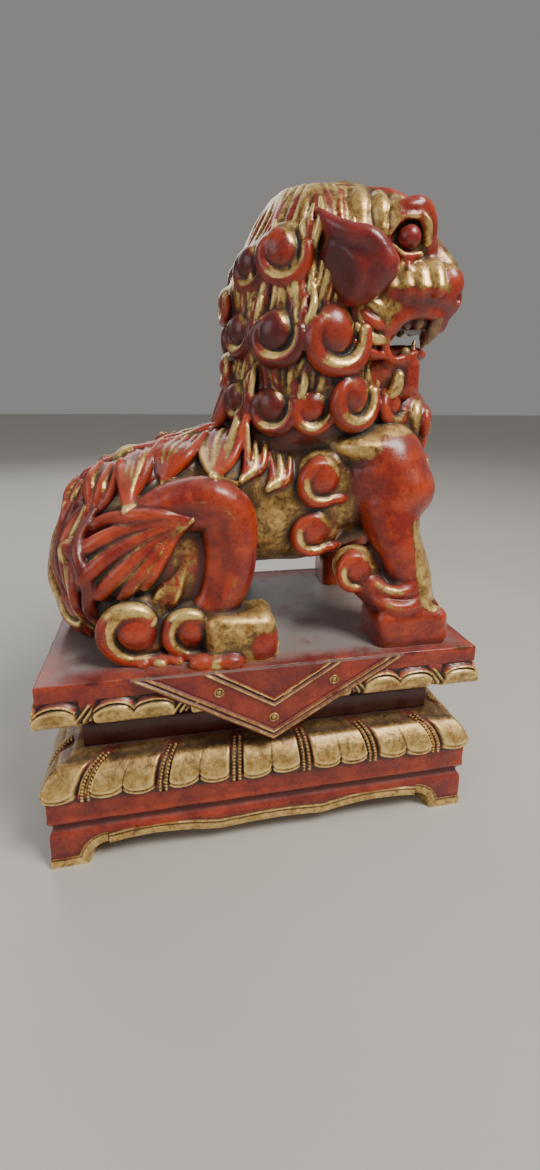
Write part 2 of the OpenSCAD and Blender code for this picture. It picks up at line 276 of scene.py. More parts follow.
def lift_piece(name, block, fields, owner, side, place):
    """The piece of one owner's wood, moved by place. side keeps only the wood right or left of the middle."""
    mask = fields["owner"] == block.owners[owner]
    middle = int(round(-block.low[1] / block.cell))
    if side == RIGHT:
        mask[:, middle + 1:, :] = False
    if side == LEFT:
        mask[:, :middle, :] = False
    mask &= fields["wood"] < SURFACE
    where = np.argwhere(mask)
    low = np.maximum(where.min(0) - PAD, 0)
    high = np.minimum(where.max(0) + PAD + 1, mask.shape)
    at = tuple(slice(a, b) for a, b in zip(low, high))
    edge = (0.5 - blurred(mask[at].astype(np.float32), SEAM_BLUR)) * (2 * SEAM_BLUR + 1) * block.cell
    dip = SEAM_DIP * np.clip((edge + 0.5) / 2, 0, 1)
    field = np.maximum(fields["wood"][at] + dip, edge - SEAM).astype(np.float32)
    for axis in range(3):
        for end in (0, -1):
            field[tuple(end if i == axis else slice(None) for i in range(3))] = 2.0
    grid = openvdb.FloatGrid(10.0)
    grid.copyFromArray(np.ascontiguousarray(np.clip(field, -4, 4)))
    points, quads = grid.convertToQuads(isovalue=0.0)
    index = np.asarray(points, float) + low
    mesh = quad_mesh(name, place(index * block.cell + block.low), np.asarray(quads))
    return closed_piece(name, mesh, {layer: sample(fields[layer], index) for layer in LAYERS})


def quad_mesh(name, points_mm, quads):
    mesh = bpy.data.meshes.new(name)
    mesh.vertices.add(len(points_mm))
    mesh.vertices.foreach_set("co", (np.asarray(points_mm) * MM).astype(np.float32).ravel())
    mesh.loops.add(quads.size)
    mesh.loops.foreach_set("vertex_index", quads.astype(np.int32).ravel())
    mesh.polygons.add(len(quads))
    mesh.polygons.foreach_set("loop_start", np.arange(0, quads.size, 4, dtype=np.int32))
    mesh.update(calc_edges=True)
    return mesh


def closed_piece(name, mesh, layers, sharp_from=None):
    """An object of a closed mesh: its faces outwards and shaded smooth, its layers kept as attributes."""
    mesh.validate()
    if volume(mesh) < 0:
        mesh.flip_normals()
    mesh.shade_smooth()
    if sharp_from is not None:
        mesh.set_sharp_from_angle(angle=sharp_from)
    for layer, values in layers.items():
        kept = mesh.attributes.new(layer, "FLOAT", "POINT")
        kept.data.foreach_set("value", values.ravel().astype(np.float32))
    made = bpy.data.objects.new(name, mesh)
    bpy.context.scene.collection.objects.link(made)
    return made


def volume(mesh):
    """Six times the volume inside a closed mesh: below zero if its faces point inwards."""
    mesh.calc_loop_triangles()
    co = np.zeros(len(mesh.vertices) * 3)
    mesh.vertices.foreach_get("co", co)
    tri = np.zeros(len(mesh.loop_triangles) * 3, int)
    mesh.loop_triangles.foreach_get("vertices", tri)
    a, b, c = co.reshape(-1, 3)[tri.reshape(-1, 3)].transpose(1, 0, 2)
    return float((np.cross(a, b) * c).sum())


# ------------------------------------------------------------------------------------- carved forms

DARK, RED, GOLD = -0.5, 0.0, 1.0    # the gilding value: below zero the red itself is darker
CURL_STEPS = 14


def frame_at(outward, up):
    """Rows: across, up and outward, for something that lies on a surface."""
    n = unit(outward)
    u = unit(np.array(up, float) - np.dot(up, n) * n)
    return np.array([np.cross(u, n), u, n])


def curl(block, owner, centre, outward, up, size, start=150, sweep=220, tail=(), crown=0.0, red=RED,
         boss=1.0):
    """A comma of hair: a big round boss, and a ridge that leaves its edge and winds round it to a tail.

    start is the angle, from the frame's across axis, where the ridge leaves the boss, and sweep how far it
    winds. tail is more points for the ridge, after its turn. crown is how gilded the ridge's upper outside
    is, red how dark its red is, and boss how much bigger the boss is than usual.
    """
    turn = frame_at(outward, up)
    c = np.array(centre, float)
    block.join(egg(c - turn[2] * size * 0.3, (size * 0.93, size * 0.93, size * 0.5), turn), owner, gilt=0.85,
               soft=1.5)
    path = []
    for i in range(CURL_STEPS + 1):
        t = i / CURL_STEPS
        a = math.radians(start + sweep * t)
        r = size * (0.46 + 0.38 * min(1, 1.35 * t))
        lift = size * (0.20 - 0.08 * t)
        p = c + turn[0] * r * math.cos(a) + turn[1] * r * math.sin(a) + turn[2] * lift
        path.append([*p, size * (0.13 + 0.13 * math.sin(math.pi * min(1, 0.1 + 0.8 * t)))])
    path += [list(p) for p in tail]

    def across_and_up(x, y, z):
        dx, dy, dz = x - c[0], y - c[1], z - c[2]
        return [row[0] * dx + row[1] * dy + row[2] * dz for row in turn[:2]]

    def ridge_gilt(x, y, z):
        """Gold on the ridge's inner slope, red on its crest and outside."""
        u, v = across_and_up(x, y, z)
        t = np.mod(np.degrees(np.arctan2(v, u)) - start, 360) / sweep
        out = np.sqrt(u * u + v * v)
        inner = np.clip((size * 0.80 - out) / (size * 0.08) + 0.3, 0, 1) * np.clip(5 * t - 1.6, 0, 1)
        gold = np.maximum(inner, crown * np.clip((v - size * 0.25) / (size * 0.4), 0, 1))
        return red + (GOLD - red) * gold

    def boss_gilt(x, y, z):
        """Red, with a crescent of gold where the boss turns towards the ridge's end."""
        u, v = across_and_up(x, y, z)
        return red + (0.9 - red) * np.clip((0.8 * u + 0.6 * v - size * 0.38) / (size * 0.1), 0, 1)

    block.join(limb(smooth_path(path, 3)), owner, gilt=ridge_gilt, soft=1.2)
    block.join(egg(c + (turn[1] - 0.6 * turn[0]) * size * 0.08 + turn[2] * size * 0.02,
                   (size * 0.58 * boss, size * 0.63 * boss, size * 0.43), turn), owner, gilt=boss_gilt,
                   soft=1.3)


def strand(block, owner, points, gilt=GOLD, soft=1.0, steps=5):
    """A smooth strand of hair through points, each [x, y, z, radius]."""
    block.join(limb(smooth_path(points, steps)), owner, gilt=gilt, soft=soft)


# ------------------------------------------------------------------------------------- the lion's body

BODY_CELL = 1.0
BELLY_GILT = 0.72
AXIS_Z = 196      # height of the trunk's axis, that the tufts on the back point away from
MANE_X = 34       # the mane's upright axis
CROWN_X = 40      # the crown's middle, and the height of the point that its locks are laid round
CROWN_HEART = 348
LOCKS = 36


def carve_body():
    block = Block((-142, -88, SLAB_TOP - 6), (150, 0, 404), BODY_CELL)
    carve_trunk(block)
    carve_haunch(block)
    carve_foreleg(block)
    carve_mane(block)
    carve_back(block)
    carve_rump(block)
    carve_hock(block)
    carve_elbow_curls(block)
    carve_mane_curls(block)
    # everything stands flat on the slab
    block.cut(slab_cut((0, 0, SLAB_TOP - 0.2), (0, 0, -1), (-150, -90, SLAB_TOP - 8), (150, 8, SLAB_TOP + 4)),
              soft=0.5)
    return block


def carve_trunk(block):
    block.join(limb([[-78, 0, 172, 48], [-62, 0, 188, 50], [-24, 0, 205, 44], [26, 0, 205, 45],
                     [74, 0, 220, 46]]), "torso", gilt=BELLY_GILT, soft=8)


def carve_haunch(block):
    block.join(egg((-56, -34, 178), (42, 25, 38)), "haunch", gilt=0.5, soft=5)
    block.join(egg((-86, -32, 160), (28, 24, 32)), "haunch", gilt=0.45, soft=6)
    # the thigh and shin: a broad red band, bent at the knee, each of two rods side by side
    for shift, thin in ((0, 0), (1, 2.5)):
        dx, dz = -10 * shift, -10 * shift
        thigh = [[-86, -44, 196 + dz * 0.5, 6], [-72, -49, 204 + dz * 0.7, 8.5], [-52, -52, 213 + dz, 11 - thin],
                 [-32, -54, 214 + dz, 12.5 - thin], [-19 + dx, -54, 204 + dz * 0.6, 12.5 - thin],
                 [-18 + dx, -55, 184, 11.5 - thin], [-21 + dx, -55, 164, 11 - thin],
                 [-28 + dx, -55, 148, 9.5 - thin]]
        block.join(limb(smooth_path(thigh, 4)), "haunch", gilt=0.06, soft=3.5)
    # the crease where their facets meet
    crease = smooth_path([[-62, -62, 212, 0.8], [-34, -66, 214, 0.8], [-20, -66, 204, 0.8],
                          [-18, -66, 184, 0.9], [-21, -65, 164, 1.0], [-27, -64, 150, 1.2]], 5)
    block.brush(limb(crease, (1, 0.3, 1)), 0.62, soft=1.4)
    # the shin's rear facet painted a darker red: painted shade on the facet turned from the light
    block.brush(limb(smooth_path([[-33, -60, 198, 4], [-29, -62, 182, 5], [-31, -62, 164, 5.5],
                                  [-38, -60, 150, 5]])), -0.3, soft=3)
    # the hollow between thigh, leaf and shin
    block.cut(egg((-50, -72, 178), (9, 20, 13), frame_at((0, -1, 0), (0.35, 0, 1))), gilt=0.5, soft=4)
    block.join(egg((-55, -43, 160), (26, 30, 13), frame_at((0, -1, 0.1), (0.45, 0, 1))), "haunch", gilt=0.55,
               soft=4)
    for lean in (0, 1, 2):
        strand(block, "haunch", [[-56 - 6 * lean, -56, 150, 2.6], [-53 - 4 * lean, -58, 163, 3.2],
                                 [-47 - 2 * lean, -57, 180 - 5 * lean, 1.2]], gilt=0.5, soft=2.2)
    # the shin's gold foot
    block.join(egg((-33, -56, 148), (12, 8, 12)), "haunch", gilt=0.75, soft=3)
    # the leaf of fur over the haunch: ridges that fan from a tip in the knee's hollow back to the rump
    along = unit((0.84, -0.12, 0.42))
    leaf = frame_at((0, -1, 0.15), along)
    block.join(egg((-79, -50, 180), (19, 33, 11.5), leaf), "haunch", gilt=0.0, soft=3)
    tip = np.array([-43, -63, 204])
    roots = [(-101, 193), (-105, 183), (-103, 172), (-95, 163), (-83, 161), (-71, 168)]
    lines = []
    for i, (x, z) in enumerate(roots):
        root = np.array([x, -50, z])
        bow = np.array([-2, 0, 8 - 1.5 * i])
        path = []
        for share, r in ((0, 4.2), (0.2, 5.0), (0.45, 4.4), (0.7, 3.3), (0.9, 1.9), (1, 0.9)):
            p = root + (tip - root) * share + bow * 4 * share * (1 - share)
            q = block.skin((p[0], 0, p[2]), (0, -1, 0))
            path.append([p[0], min(q[1] - 0.4, -40), p[2], r])
        lines.append((path, RED if i < 4 else 0.3))
    for path, paint in lines:
        strand(block, "haunch", path, gilt=paint, soft=1.0, steps=6)
    for (path, _), (other, _) in zip(lines[:-1], lines[1:]):
        between = (np.array(path) + np.array(other)) / 2
        between[:, 3] = (1.3, 1.4, 1.2, 0.9, 0.7, 0.5)
        block.brush(limb(smooth_path(between[:5], 5), (1, 0.25, 1)), 0.9, soft=1.2)


def carve_foreleg(block):
    block.join(egg((80, -34, 222), (27, 25, 33)), "foreleg", gilt=0.1, soft=6)
    block.join(limb([[80, -42, 206, 20], [83, -48, 184, 16.5], [94, -51, 156, 14.5], [97, -53, 142, 14]]),
               "foreleg", gilt=0.08, soft=3)
    block.join(egg((66, -32, 240), (24, 21, 11)), "foreleg", gilt=0.95, soft=5)
    block.join(egg((86, -38, 214), (24, 24, 23)), "foreleg", gilt=0.08, soft=3)
    # the web of fur between the elbow's lowest curl and the paw
    block.join(limb([[56, -44, 164, 9], [68, -50, 154, 10], [80, -53, 142, 11]]), "foreleg", gilt=0.4, soft=6)
    # a blocky paw, its four toes parted by grooves
    block.join(box((91, -54, 129), (24, 17, 14), 7), "foreleg", gilt=RED, soft=6)
    for y in (-46, -54, -62):
        block.cut(limb([[97, y, 146, 1.0], [108, y, 144, 1.8], [115, y, 138, 2.2], [117, y, 120, 2.2]]),
                  gilt=DARK, soft=2)
    for y in (-42, -50, -58, -66):
        block.join(limb([[110, y, 130, 4.2], [116 - abs(y + 54) * 0.2, y, 123, 2.2]]), "foreleg", gilt=0.5,
                   soft=1.2)
    # flaps of fur that fall over it from the leg
    for low, out, paint in ((156, 66, 0.42), (147, 69, 0.35)):
        strand(block, "foreleg", [[62, -52, low + 5, 3], [74, 3 - out, low, 3.2], [88, 2 - out, low - 1, 3.0],
                                  [101, 7 - out, low + 5, 1.6]], gilt=paint, soft=5)
    # gold over the shoulder and down the front edge, and the red darker low on the paw and at the back of the
    # leg above it
    block.brush(egg((78, -34, 264), (36, 36, 18)), 0.95, soft=3)
    block.brush(limb([[92, -60, 194, 5], [98, -63, 172, 8], [104, -66, 150, 9.5]]), 0.9, soft=3)
    block.brush(limb([[66, -62, 120, 12], [84, -72, 118, 9], [112, -70, 114, 9]]), DARK, soft=6)
    block.brush(limb([[58, -54, 158, 8], [66, -60, 140, 8]]), -0.3, soft=6)


def carve_hind_paw(block):
    block.join(box((-17, -58, 132), (21, 15, 17), 8), "hind_paw", gilt=0.75, soft=3)
    for y in (-49, -59, -69):
        x = -2 - abs(y + 58) * 0.3
        block.join(egg((x, y, 130), (9, 5.5, 11)), "hind_paw", gilt=0.1, soft=1.6)
        block.join(limb([[x + 6, y, 127, 3], [x + 9, y, 123, 1.6]]), "hind_paw", gilt=0.6, soft=0.8)
    # the toes that lie along the slab
    for i in range(3):
        block.join(egg((-40 + 8 * i, -71 - i, 122), (8, 5.5, 5.5)), "hind_paw", gilt=0.5 if i == 1 else RED,
                   soft=1.2)


def carve_mane(block):
    block.join(limb([[38, 0, 268, 45], [34, 0, 300, 47], [36, 0, 330, 47], [42, 0, 345, 43]]), "mane",
               gilt=0.38, soft=6)
    block.join(limb([[66, 0, 262, 36], [92, -8, 258, 24]]), "mane", gilt=0.4, soft=6)
    # locks from the crown down to the shoulders, each a slow S
    block.join(limb([[12, 0, 244, 32], [20, 0, 262, 38]]), "mane", gilt=0.3, soft=6)
    paths = []
    for i in range(LOCKS):
        angle = math.radians(58 + 124 * i / (LOCKS - 1))
        path = []
        if i % 3 == 0:    # every third lock starts from the middle of the crown
            path.append([*block.skin((CROWN_X, 0, CROWN_HEART), (math.cos(angle), -math.sin(angle), 14)),
                         0.7])
        for j, z in enumerate((388, 376, 356, 336, 316, 298, 280, 258)):
            a = angle + (0.075 + 0.03 * math.sin(i * 2.1)) * math.sin(j * 1.9 + i * 0.5)
            up, lift = ((3.2, 0.8), (1.3, 1.2), (0.45, 0.4))[j] if j < 3 else (0, 0)
            way = unit((math.cos(a), -math.sin(a), up))
            p = block.skin((CROWN_X, 0, min(z, CROWN_HEART)), way) + way * lift
            path.append([*p, 0.7 if j == 0 else 1.6 + 0.9 * ((i + j) % 2)])
        paths.append(path)
    for i, path in enumerate(paths):
        strand(block, "mane", path, gilt=(0.95, 0.6, 0.85, 0.25)[i % 4], soft=0.6, steps=6)
    block.brush(egg((CROWN_X, 0, 390), (17, 17, 12)), 0.8, soft=5)


def carve_mane_curls(block):
    """Three rows of curls round the mane, each with a tail that runs up into the hair ahead of it."""
    rows = [(8, -40, 345, 18), (5, -43, 303, 18), (39, -50, 303, 23), (1, -40, 264, 17), (27, -46, 263, 15),
            (54, -49, 270, 21), (-8, -24, 341, 15), (-14, -20, 306, 15), (-14, -20, 268, 14)]
    for x, y, z, size in rows:
        heart = np.array([MANE_X, 0, z])
        way = unit(np.array([x, y, z]) - heart)
        p = block.skin(heart, way) - way * size * 0.1
        turn = frame_at(way, (0, 0, 1))
        end = p + turn[0] * size * 0.88 + turn[1] * size * 0.45
        # the ridge ends in strands that run up into the hair
        for lean, long, paint in ((0.30, 0.95, 0.95), (-0.02, 0.8, 0.2), (-0.22, 0.55, 0.9)):
            strand(block, "mane_curls", [[*(end - turn[1] * size * 0.35 + turn[0] * size * lean * 0.3),
                                          size * 0.12],
                                         [*(end + turn[1] * size * long * 0.4 + turn[0] * size * lean),
                                          size * 0.13],
                                         [*(end + turn[1] * size * long + turn[0] * size * lean * 0.6
                                            - turn[2] * size * 0.2), size * 0.06]], gilt=paint, soft=0.8)
        # curls on the back of the mane (x below 7) get a darker red: painted shade on the side turned from the
        # light
        curl(block, "mane_curls", p, way, (0, 0, 1), size, start=135, sweep=235, red=DARK if x < 7 else RED)
    # one curl on the middle of the back of the mane in each gap between the rows
    for z, size in ((324, 13), (287, 13)):
        p = block.skin((MANE_X, 0, z), (-1, 0, 0))
        curl(block, "mane", p, (-1, 0, 0), (0, 0, 1), size)
    for x, y, z, size in ((86, -40, 262, 16), (108, -26, 254, 13), (122, -9, 242, 11), (118, -22, 230, 9)):
        way = unit((x - 66, y, 0.25 * (z - 240)))
        p = block.skin((66, 0, z), way)
        curl(block, "chest_curls", p, way, (0, 0, 1), size)


def carve_back(block):
    """Tufts of flame down each side of the spine, and the crest of short ones along it."""
    def on_trunk(x, angle, z=AXIS_Z):
        a = math.radians(angle)
        heart = (max(x, -78), 0, z if x > -70 else 182)
        if x > -78:
            return block.skin(heart, (0, -math.sin(a), math.cos(a)))
        lean = (x + 78) / 40
        return block.skin(heart, (lean, -math.sin(a) * (1 + lean), math.cos(a)))

    fans = [(-31, 62, -18, 15, 25, 6, GOLD), (-58, 58, -43, 14, 22, 5, RED), (-78, 64, -67, 14, 20, 5, RED),
            (-94, 74, -88, 22, 16, 4, RED), (-104, 82, -106, 32, 13, 4, RED)]
    for root_x, root_a, tip_x, tip_a, spread, count, paint in fans:
        # a raised bed, so that the grooves between the flames are shallow
        a = math.radians(root_a * 0.35 + tip_a * 0.65)
        bed = on_trunk(root_x * 0.35 + tip_x * 0.65, root_a * 0.35 + tip_a * 0.65)
        block.join(egg(bed, (spread * 0.55, 15, 4), frame_at((0, -math.sin(a), math.cos(a)), (0.25, 1, 1))),
                   "back_crest", gilt=0.1, soft=4)
        root = on_trunk(root_x, root_a)
        wide = spread / (count - 1) * 0.5 + 0.9
        for i in range(count):
            t = i / (count - 1)
            tip = on_trunk(tip_x - spread / 2 + spread * t, tip_a + 14 * (t - 0.3) ** 2)
            middle = on_trunk((root_x + tip_x) / 2 - spread * 0.36 + spread * 0.72 * t,
                              (root_a + tip_a) / 2 + 3 * t)
            red = i % 2 if paint == GOLD else True
            strand(block, "back_crest", [[*root, 2.0], [*middle, wide], [*tip, wide * 0.6]],
                   gilt=0.05 if red else GOLD, soft=0.6, steps=7)
            if i:
                before = t - 0.5 / (count - 1)
                gap = on_trunk((root_x + tip_x) / 2 - spread * 0.36 + spread * 0.72 * before,
                               (root_a + tip_a) / 2)
                end = on_trunk(tip_x - spread / 2 + spread * before, tip_a)
                block.brush(limb(smooth_path([[*root, 0.6], [*gap, 1.25], [*end, 1.0]], 7)), GOLD, soft=1.0)
        # the low finger that sweeps forward from the root
        if root_x > -80:
            low = on_trunk(root_x + 17, root_a - 2)
            strand(block, "back_crest", [[*root, 2.5], [*((root + low) / 2 + [0, -1, -1]), 3.0], [*low, 1.2]],
                   gilt=0.9, soft=2, steps=6)
    # two ribbed leaves ahead of the shoulder tuft
    for x, a, tip_x, tip_a in ((-14, 60, 4, 34), (2, 66, 18, 42)):
        for i in range(3):
            root, tip = on_trunk(x, a), on_trunk(tip_x - 6 * i, tip_a - 2 * i)
            middle = on_trunk((x + tip_x) / 2 - 4 * (i - 1), (a + tip_a) / 2 + 3)
            strand(block, "torso", [[*root, 1.8], [*middle, 3.2], [*tip, 1.4]], gilt=GOLD if i % 2 else 0.3,
                   soft=0.8)
    # low flames in pairs along the spine
    for i in range(9):
        x = -12 - 12.5 * i
        root, middle, tip = on_trunk(x, 7), on_trunk(x + 8, 8), on_trunk(x + 18, 3)
        strand(block, "back_crest", [[*root, 2.4], [*middle, 3.6], [*tip, 1.2]], gilt=RED if i % 3 else 0.75,
               soft=1.4)


def carve_rump(block):
    """Hair and the tail, falling over the rump to the slab."""
    block.join(limb([[-112, 0, 160, 17], [-112, 0, 138, 18], [-104, -12, 130, 14]]), "tail", gilt=0.25,
               soft=6)
    paths = []
    for i in range(8):
        a = math.radians(4 + i * 9)
        path = []
        for j, z in enumerate((206, 188, 168, 148, 124)):
            b = a + 0.07 * math.sin(j * 1.6 + i * 0.6)
            p = block.skin((-80, 0, z), (-math.cos(b), -math.sin(b), 0))
            path.append([*p, (2.0, 3.4, 3.8, 3.4, 2.2)[j]])
        paths.append(path)
    for i, path in enumerate(paths):
        strand(block, "tail", path, gilt=0.7 if i % 4 == 1 else DARK if i % 2 else RED, soft=1.4, steps=6)
    for x, y, z, size in ((-107, -42, 183, 10), (-112, -34, 146, 13)):
        p = block.skin((-80, 0, z), (x + 80, y, 0))
        curl(block, "tail", p, (x + 80, y, 0), (0, 0, 1), size, start=60, sweep=220)


def carve_hock(block):
    carve_hind_paw(block)
    for x, z, size in ((-75, 141, 22), (-44, 138, 18)):
        p = np.array([x, -57, z])
        block.join(egg(p + [0, 4, -3], (size, 12, size * 0.95)), "hock_curls", gilt=0.5, soft=3)
        turn = frame_at((0, -1, 0), (0, 0, 1))
        tail = [[x + size * 0.1, -62, z - size * 0.86, size * 0.2],
                [x + size * 0.7, -63, z - size * 0.98, 3.0]]
        curl(block, "hock_curls", p + turn[2] * 3, (0, -1, 0), (0, 0, 1), size, start=40, sweep=215,
             tail=tail, crown=0.95)
        # fur below the curl
        for i in range(3):
            strand(block, "hock_curls", [[x - 8 + 9 * i, -60, z - size * 0.8, 3.2],
                                         [x + 2 + 10 * i, -66, 121, 2.8]], gilt=0.5 if i % 2 else RED)


def carve_elbow_curls(block):
    for x, z, size in ((36, 222, 17), (33, 190, 16), (57, 167, 15)):
        p = block.skin((x, 0, z), (0, -1, 0))
        if p[1] > -30:
            p = np.array([x, -44, z])
        p[1] = min(p[1], -42)
        block.join(egg(p + [4, 6, 0], (size * 0.95, 10, size * 0.95)), "elbow_curls", gilt=0.6, soft=3)
        tail = [[x + size * 0.7, p[1] - 1, z - size * 0.72, 3.2],
                [x + size * 1.1, p[1] + 2, z - size * 0.66, 1.6]]
        curl(block, "elbow_curls", p, (0, -1, 0), (0, 0, 1), size, start=80, sweep=215, tail=tail, boss=1.14)

# ------------------------------------------------------------------------------------- the head

HEAD_CELL = 0.8   # the block's lower edge across is a whole number of cells from its middle
HEAD_TURN = math.radians(20)    # towards the lion's right
HEAD_AT = np.array([50, -4, 340])


def place_head(points):
    """From the head's own frame, where it looks along +X, to its place on the lion."""
    c, s = math.cos(HEAD_TURN), math.sin(HEAD_TURN)
    x, y, z = points.T
    return np.stack([c * x + s * y, -s * x + c * y, z], axis=1) + HEAD_AT


def carve_head():
    block = Block((-40, -67.2, -82), (90, 0, 62), HEAD_CELL)
    carve_skull(block)
    carve_brow(block)
    carve_muzzle(block)
    carve_jaw(block)
    carve_mouth(block)
    carve_teeth(block)
    carve_ear(block)
    return block


def carve_skull(block):
    block.join(egg((4, 0, 8), (40, 38, 42)), "head", gilt=0.8, soft=5)
    block.join(egg((30, 0, 12), (25, 31, 30)), "head", gilt=0.85, soft=6)
    block.join(egg((28, -22, -20), (18, 14, 20)), "head", gilt=0.7, soft=5)
    # locks that run from the crown over the back of the skull
    for i in range(6):
        y = -4 - 6 * i
        path = [[20 - i, y, 60], [0, y * 1.1, 60], [-22, y * 1.3, 44], [-34, y * 1.35, 20]]
        path = [[*(block.skin((0, 0, 8), np.array(p) - (0, 0, 8)) - [0, 0, 1.5]), 2.4] for p in path]
        strand(block, "head", path, gilt=0.9 if i % 2 else 0.5)


def carve_brow(block):
    # the upright folds of the forehead
    for x, top, wide in ((1, 37, 6), (13, 38, 6.5), (24, 37, 5.5), (33, 35, 4.5)):
        strand(block, "head", [[x, -20, top, wide * 0.7], [x + 1, -27, top - 7, wide],
                               [x + 3, -29, top - 18, wide * 0.8]], gilt=0.9, soft=2.4)
    # a red roll along the top of the forehead, from the crown to the brow
    strand(block, "head", [[20, -12, 42, 3], [29, -14, 39, 4.5], [38, -14, 35, 4.5]], gilt=0.2, soft=3)
    # the brow, which comes forward over the eye and turns down beside the nose
    strand(block, "head", [[33, -27, 27, 4], [41, -26, 30, 5], [48, -20, 30, 6], [53, -14, 22, 5.5],
                           [54, -10, 12, 4.5], [57, -9, 4, 4]], gilt=0.3, soft=2)
    strand(block, "head", [[46, -26, 27, 2.4], [51, -24, 22, 3], [53, -20, 14, 2.6]], gilt=0.55, soft=2.4)
    # the socket, its lids and the lashes of hair behind it
    block.cut(egg((43, -33, 15), (11, 9, 9)), gilt=0.0, soft=2)
    strand(block, "head", [[32, -31, 17, 1.2], [38, -31, 24, 1.8], [46, -28, 25, 1.6]], gilt=0.35, soft=2)
    strand(block, "head", [[34, -31, 10, 1.2], [40, -32, 5, 1.8], [49, -29, 6, 1.6]], gilt=0.2, soft=2)
    for i in range(3):
        strand(block, "head", [[37 + 4 * i, -30, 5, 1.2], [34 + 4 * i, -31, 0, 1.9],
                               [36 + 5 * i, -30, -6, 1.2]], gilt=0.6 if i % 2 else 0.2, soft=1.8)
    block.join(egg((42.5, -26, 15), (6.6, 6.6, 6.6)), "eye", gilt=RED, soft=0.3)


def carve_muzzle(block):
    def lip_gilt(x, y, z):
        """Gold over the top of the muzzle, red on the lip below it."""
        return np.clip((z + 16) / 7, 0, 0.95)

    def nose_gilt(x, y, z):
        """A red ball, gilded on top."""
        return np.clip((z + 3) / 6, 0, 0.9)

    block.join(egg((48, 0, -11), (28, 28, 16)), "head", gilt=lip_gilt, soft=5)
    block.join(egg((43, -20, -13), (20, 13, 15)), "head", gilt=lip_gilt, soft=4)
    block.join(egg((58, 0, -13), (18, 21, 14)), "head", gilt=lip_gilt, soft=5)
    # folds across the muzzle
    for i in range(4):
        x = 31 + 8.5 * i
        strand(block, "head", [[x, -12, 2, 4.5], [x + 1, -25, -2, 5.8], [x + 3, -31, -12, 4.8]],
               gilt=lip_gilt, soft=3.5)
    # the nose: a bridge, a ball at the tip and a wing to each side
    block.join(limb([[54, 0, 14, 10], [64, 0, 2, 11]]), "head", gilt=0.6, soft=4)
    block.join(egg((66, 0, -5), (11, 12, 11)), "head", gilt=nose_gilt, soft=2)
    block.join(egg((65, -12, -6), (11, 9, 10.5)), "head", gilt=nose_gilt, soft=2)
    block.cut(egg((74, -11, -13), (5, 3.5, 3)), gilt=0, soft=1.2)
    # the lip, lifted over the corner of the mouth
    strand(block, "head", [[33, -26, -44, 1.6], [34, -28, -35, 2.2], [41, -29, -27, 2.6], [50, -25, -23, 2.8],
                           [59, -19, -24, 3.0], [65, -10, -24, 3.0], [67, 0, -24, 3.0]], gilt=-0.15, soft=4)
    # the underside of the upper jaw, which hooks down at the front, painted dark: painted shade under the jaw
    block.join(egg((57, 0, -27), (13, 15, 8)), "head", gilt=DARK, soft=3)


def carve_jaw(block):
    # hair swept back from the corner of the mouth
    for i in range(4):
        z = -17 - 8 * i
        strand(block, "head", [[37 - i, -26, z - 6, 1.6], [29 - i, -33, z - 5, 3.2], [20 - i, -36, z, 3.0],
                               [13 - i, -36, z + 7, 1.4]], gilt=0.25 if i % 2 else 0.95, soft=1.5)
    block.join(egg((30, 0, -54), (22, 24, 16)), "lower_jaw", gilt=0.4, soft=3)
    block.join(box((37, 0, -58), (19, 19, 13), 8), "lower_jaw", gilt=0.1, soft=3)
    # the lower lip, and the beard under it
    strand(block, "lower_jaw", [[34, -26, -43, 1.8], [39, -23, -49, 2.2], [47, -18, -47, 2.4],
                                [54, -12, -42, 2.4], [56, 0, -44, 2.4]], gilt=0.05, soft=4)
    for i in range(4):
        y = -2 - 6 * i
        strand(block, "lower_jaw", [[52 - i * 3, y, -58, 3.5], [53 - i * 4, y * 1.05, -66, 3.8],
                                    [44 - i * 4, y * 0.9, -73, 2]], gilt=0.8 if i % 2 else 0.1, soft=1)


def carve_mouth(block):
    # the mouth hollowed out and its inside painted dark: painted shade
    block.cut(egg((58, 0, -38), (26, 21, 7.5)), gilt=DARK, soft=2)
    block.cut(egg((48, -22, -37), (9, 14, 7.5)), gilt=DARK, soft=2)
    # the tongue
    block.join(egg((44, 0, -44), (16, 11, 5)), "lower_jaw", gilt=0.05, soft=2)


def carve_teeth(block):
    for y in (-6, 0):
        block.join(egg((65, y, -28), (3.2, 3.2, 4)), "teeth", gilt=0.2, soft=0.5)
    block.join(limb([[62, -13, -27, 5.0], [61, -14, -33, 4.0], [59, -14, -39, 1.2]]), "teeth", gilt=0.0,
               soft=0.5)
    for x in (52, 45):
        block.join(egg((x, -20, -28), (3.4, 3.4, 4.2)), "teeth", gilt=0.1, soft=0.5)
    block.join(limb([[50, -12, -48, 3.6], [51, -12, -38, 1.2]]), "teeth", gilt=0.2, soft=0.5)
    block.join(egg((46, -18, -45), (3.2, 3.2, 3.6)), "teeth", gilt=0.2, soft=0.5)


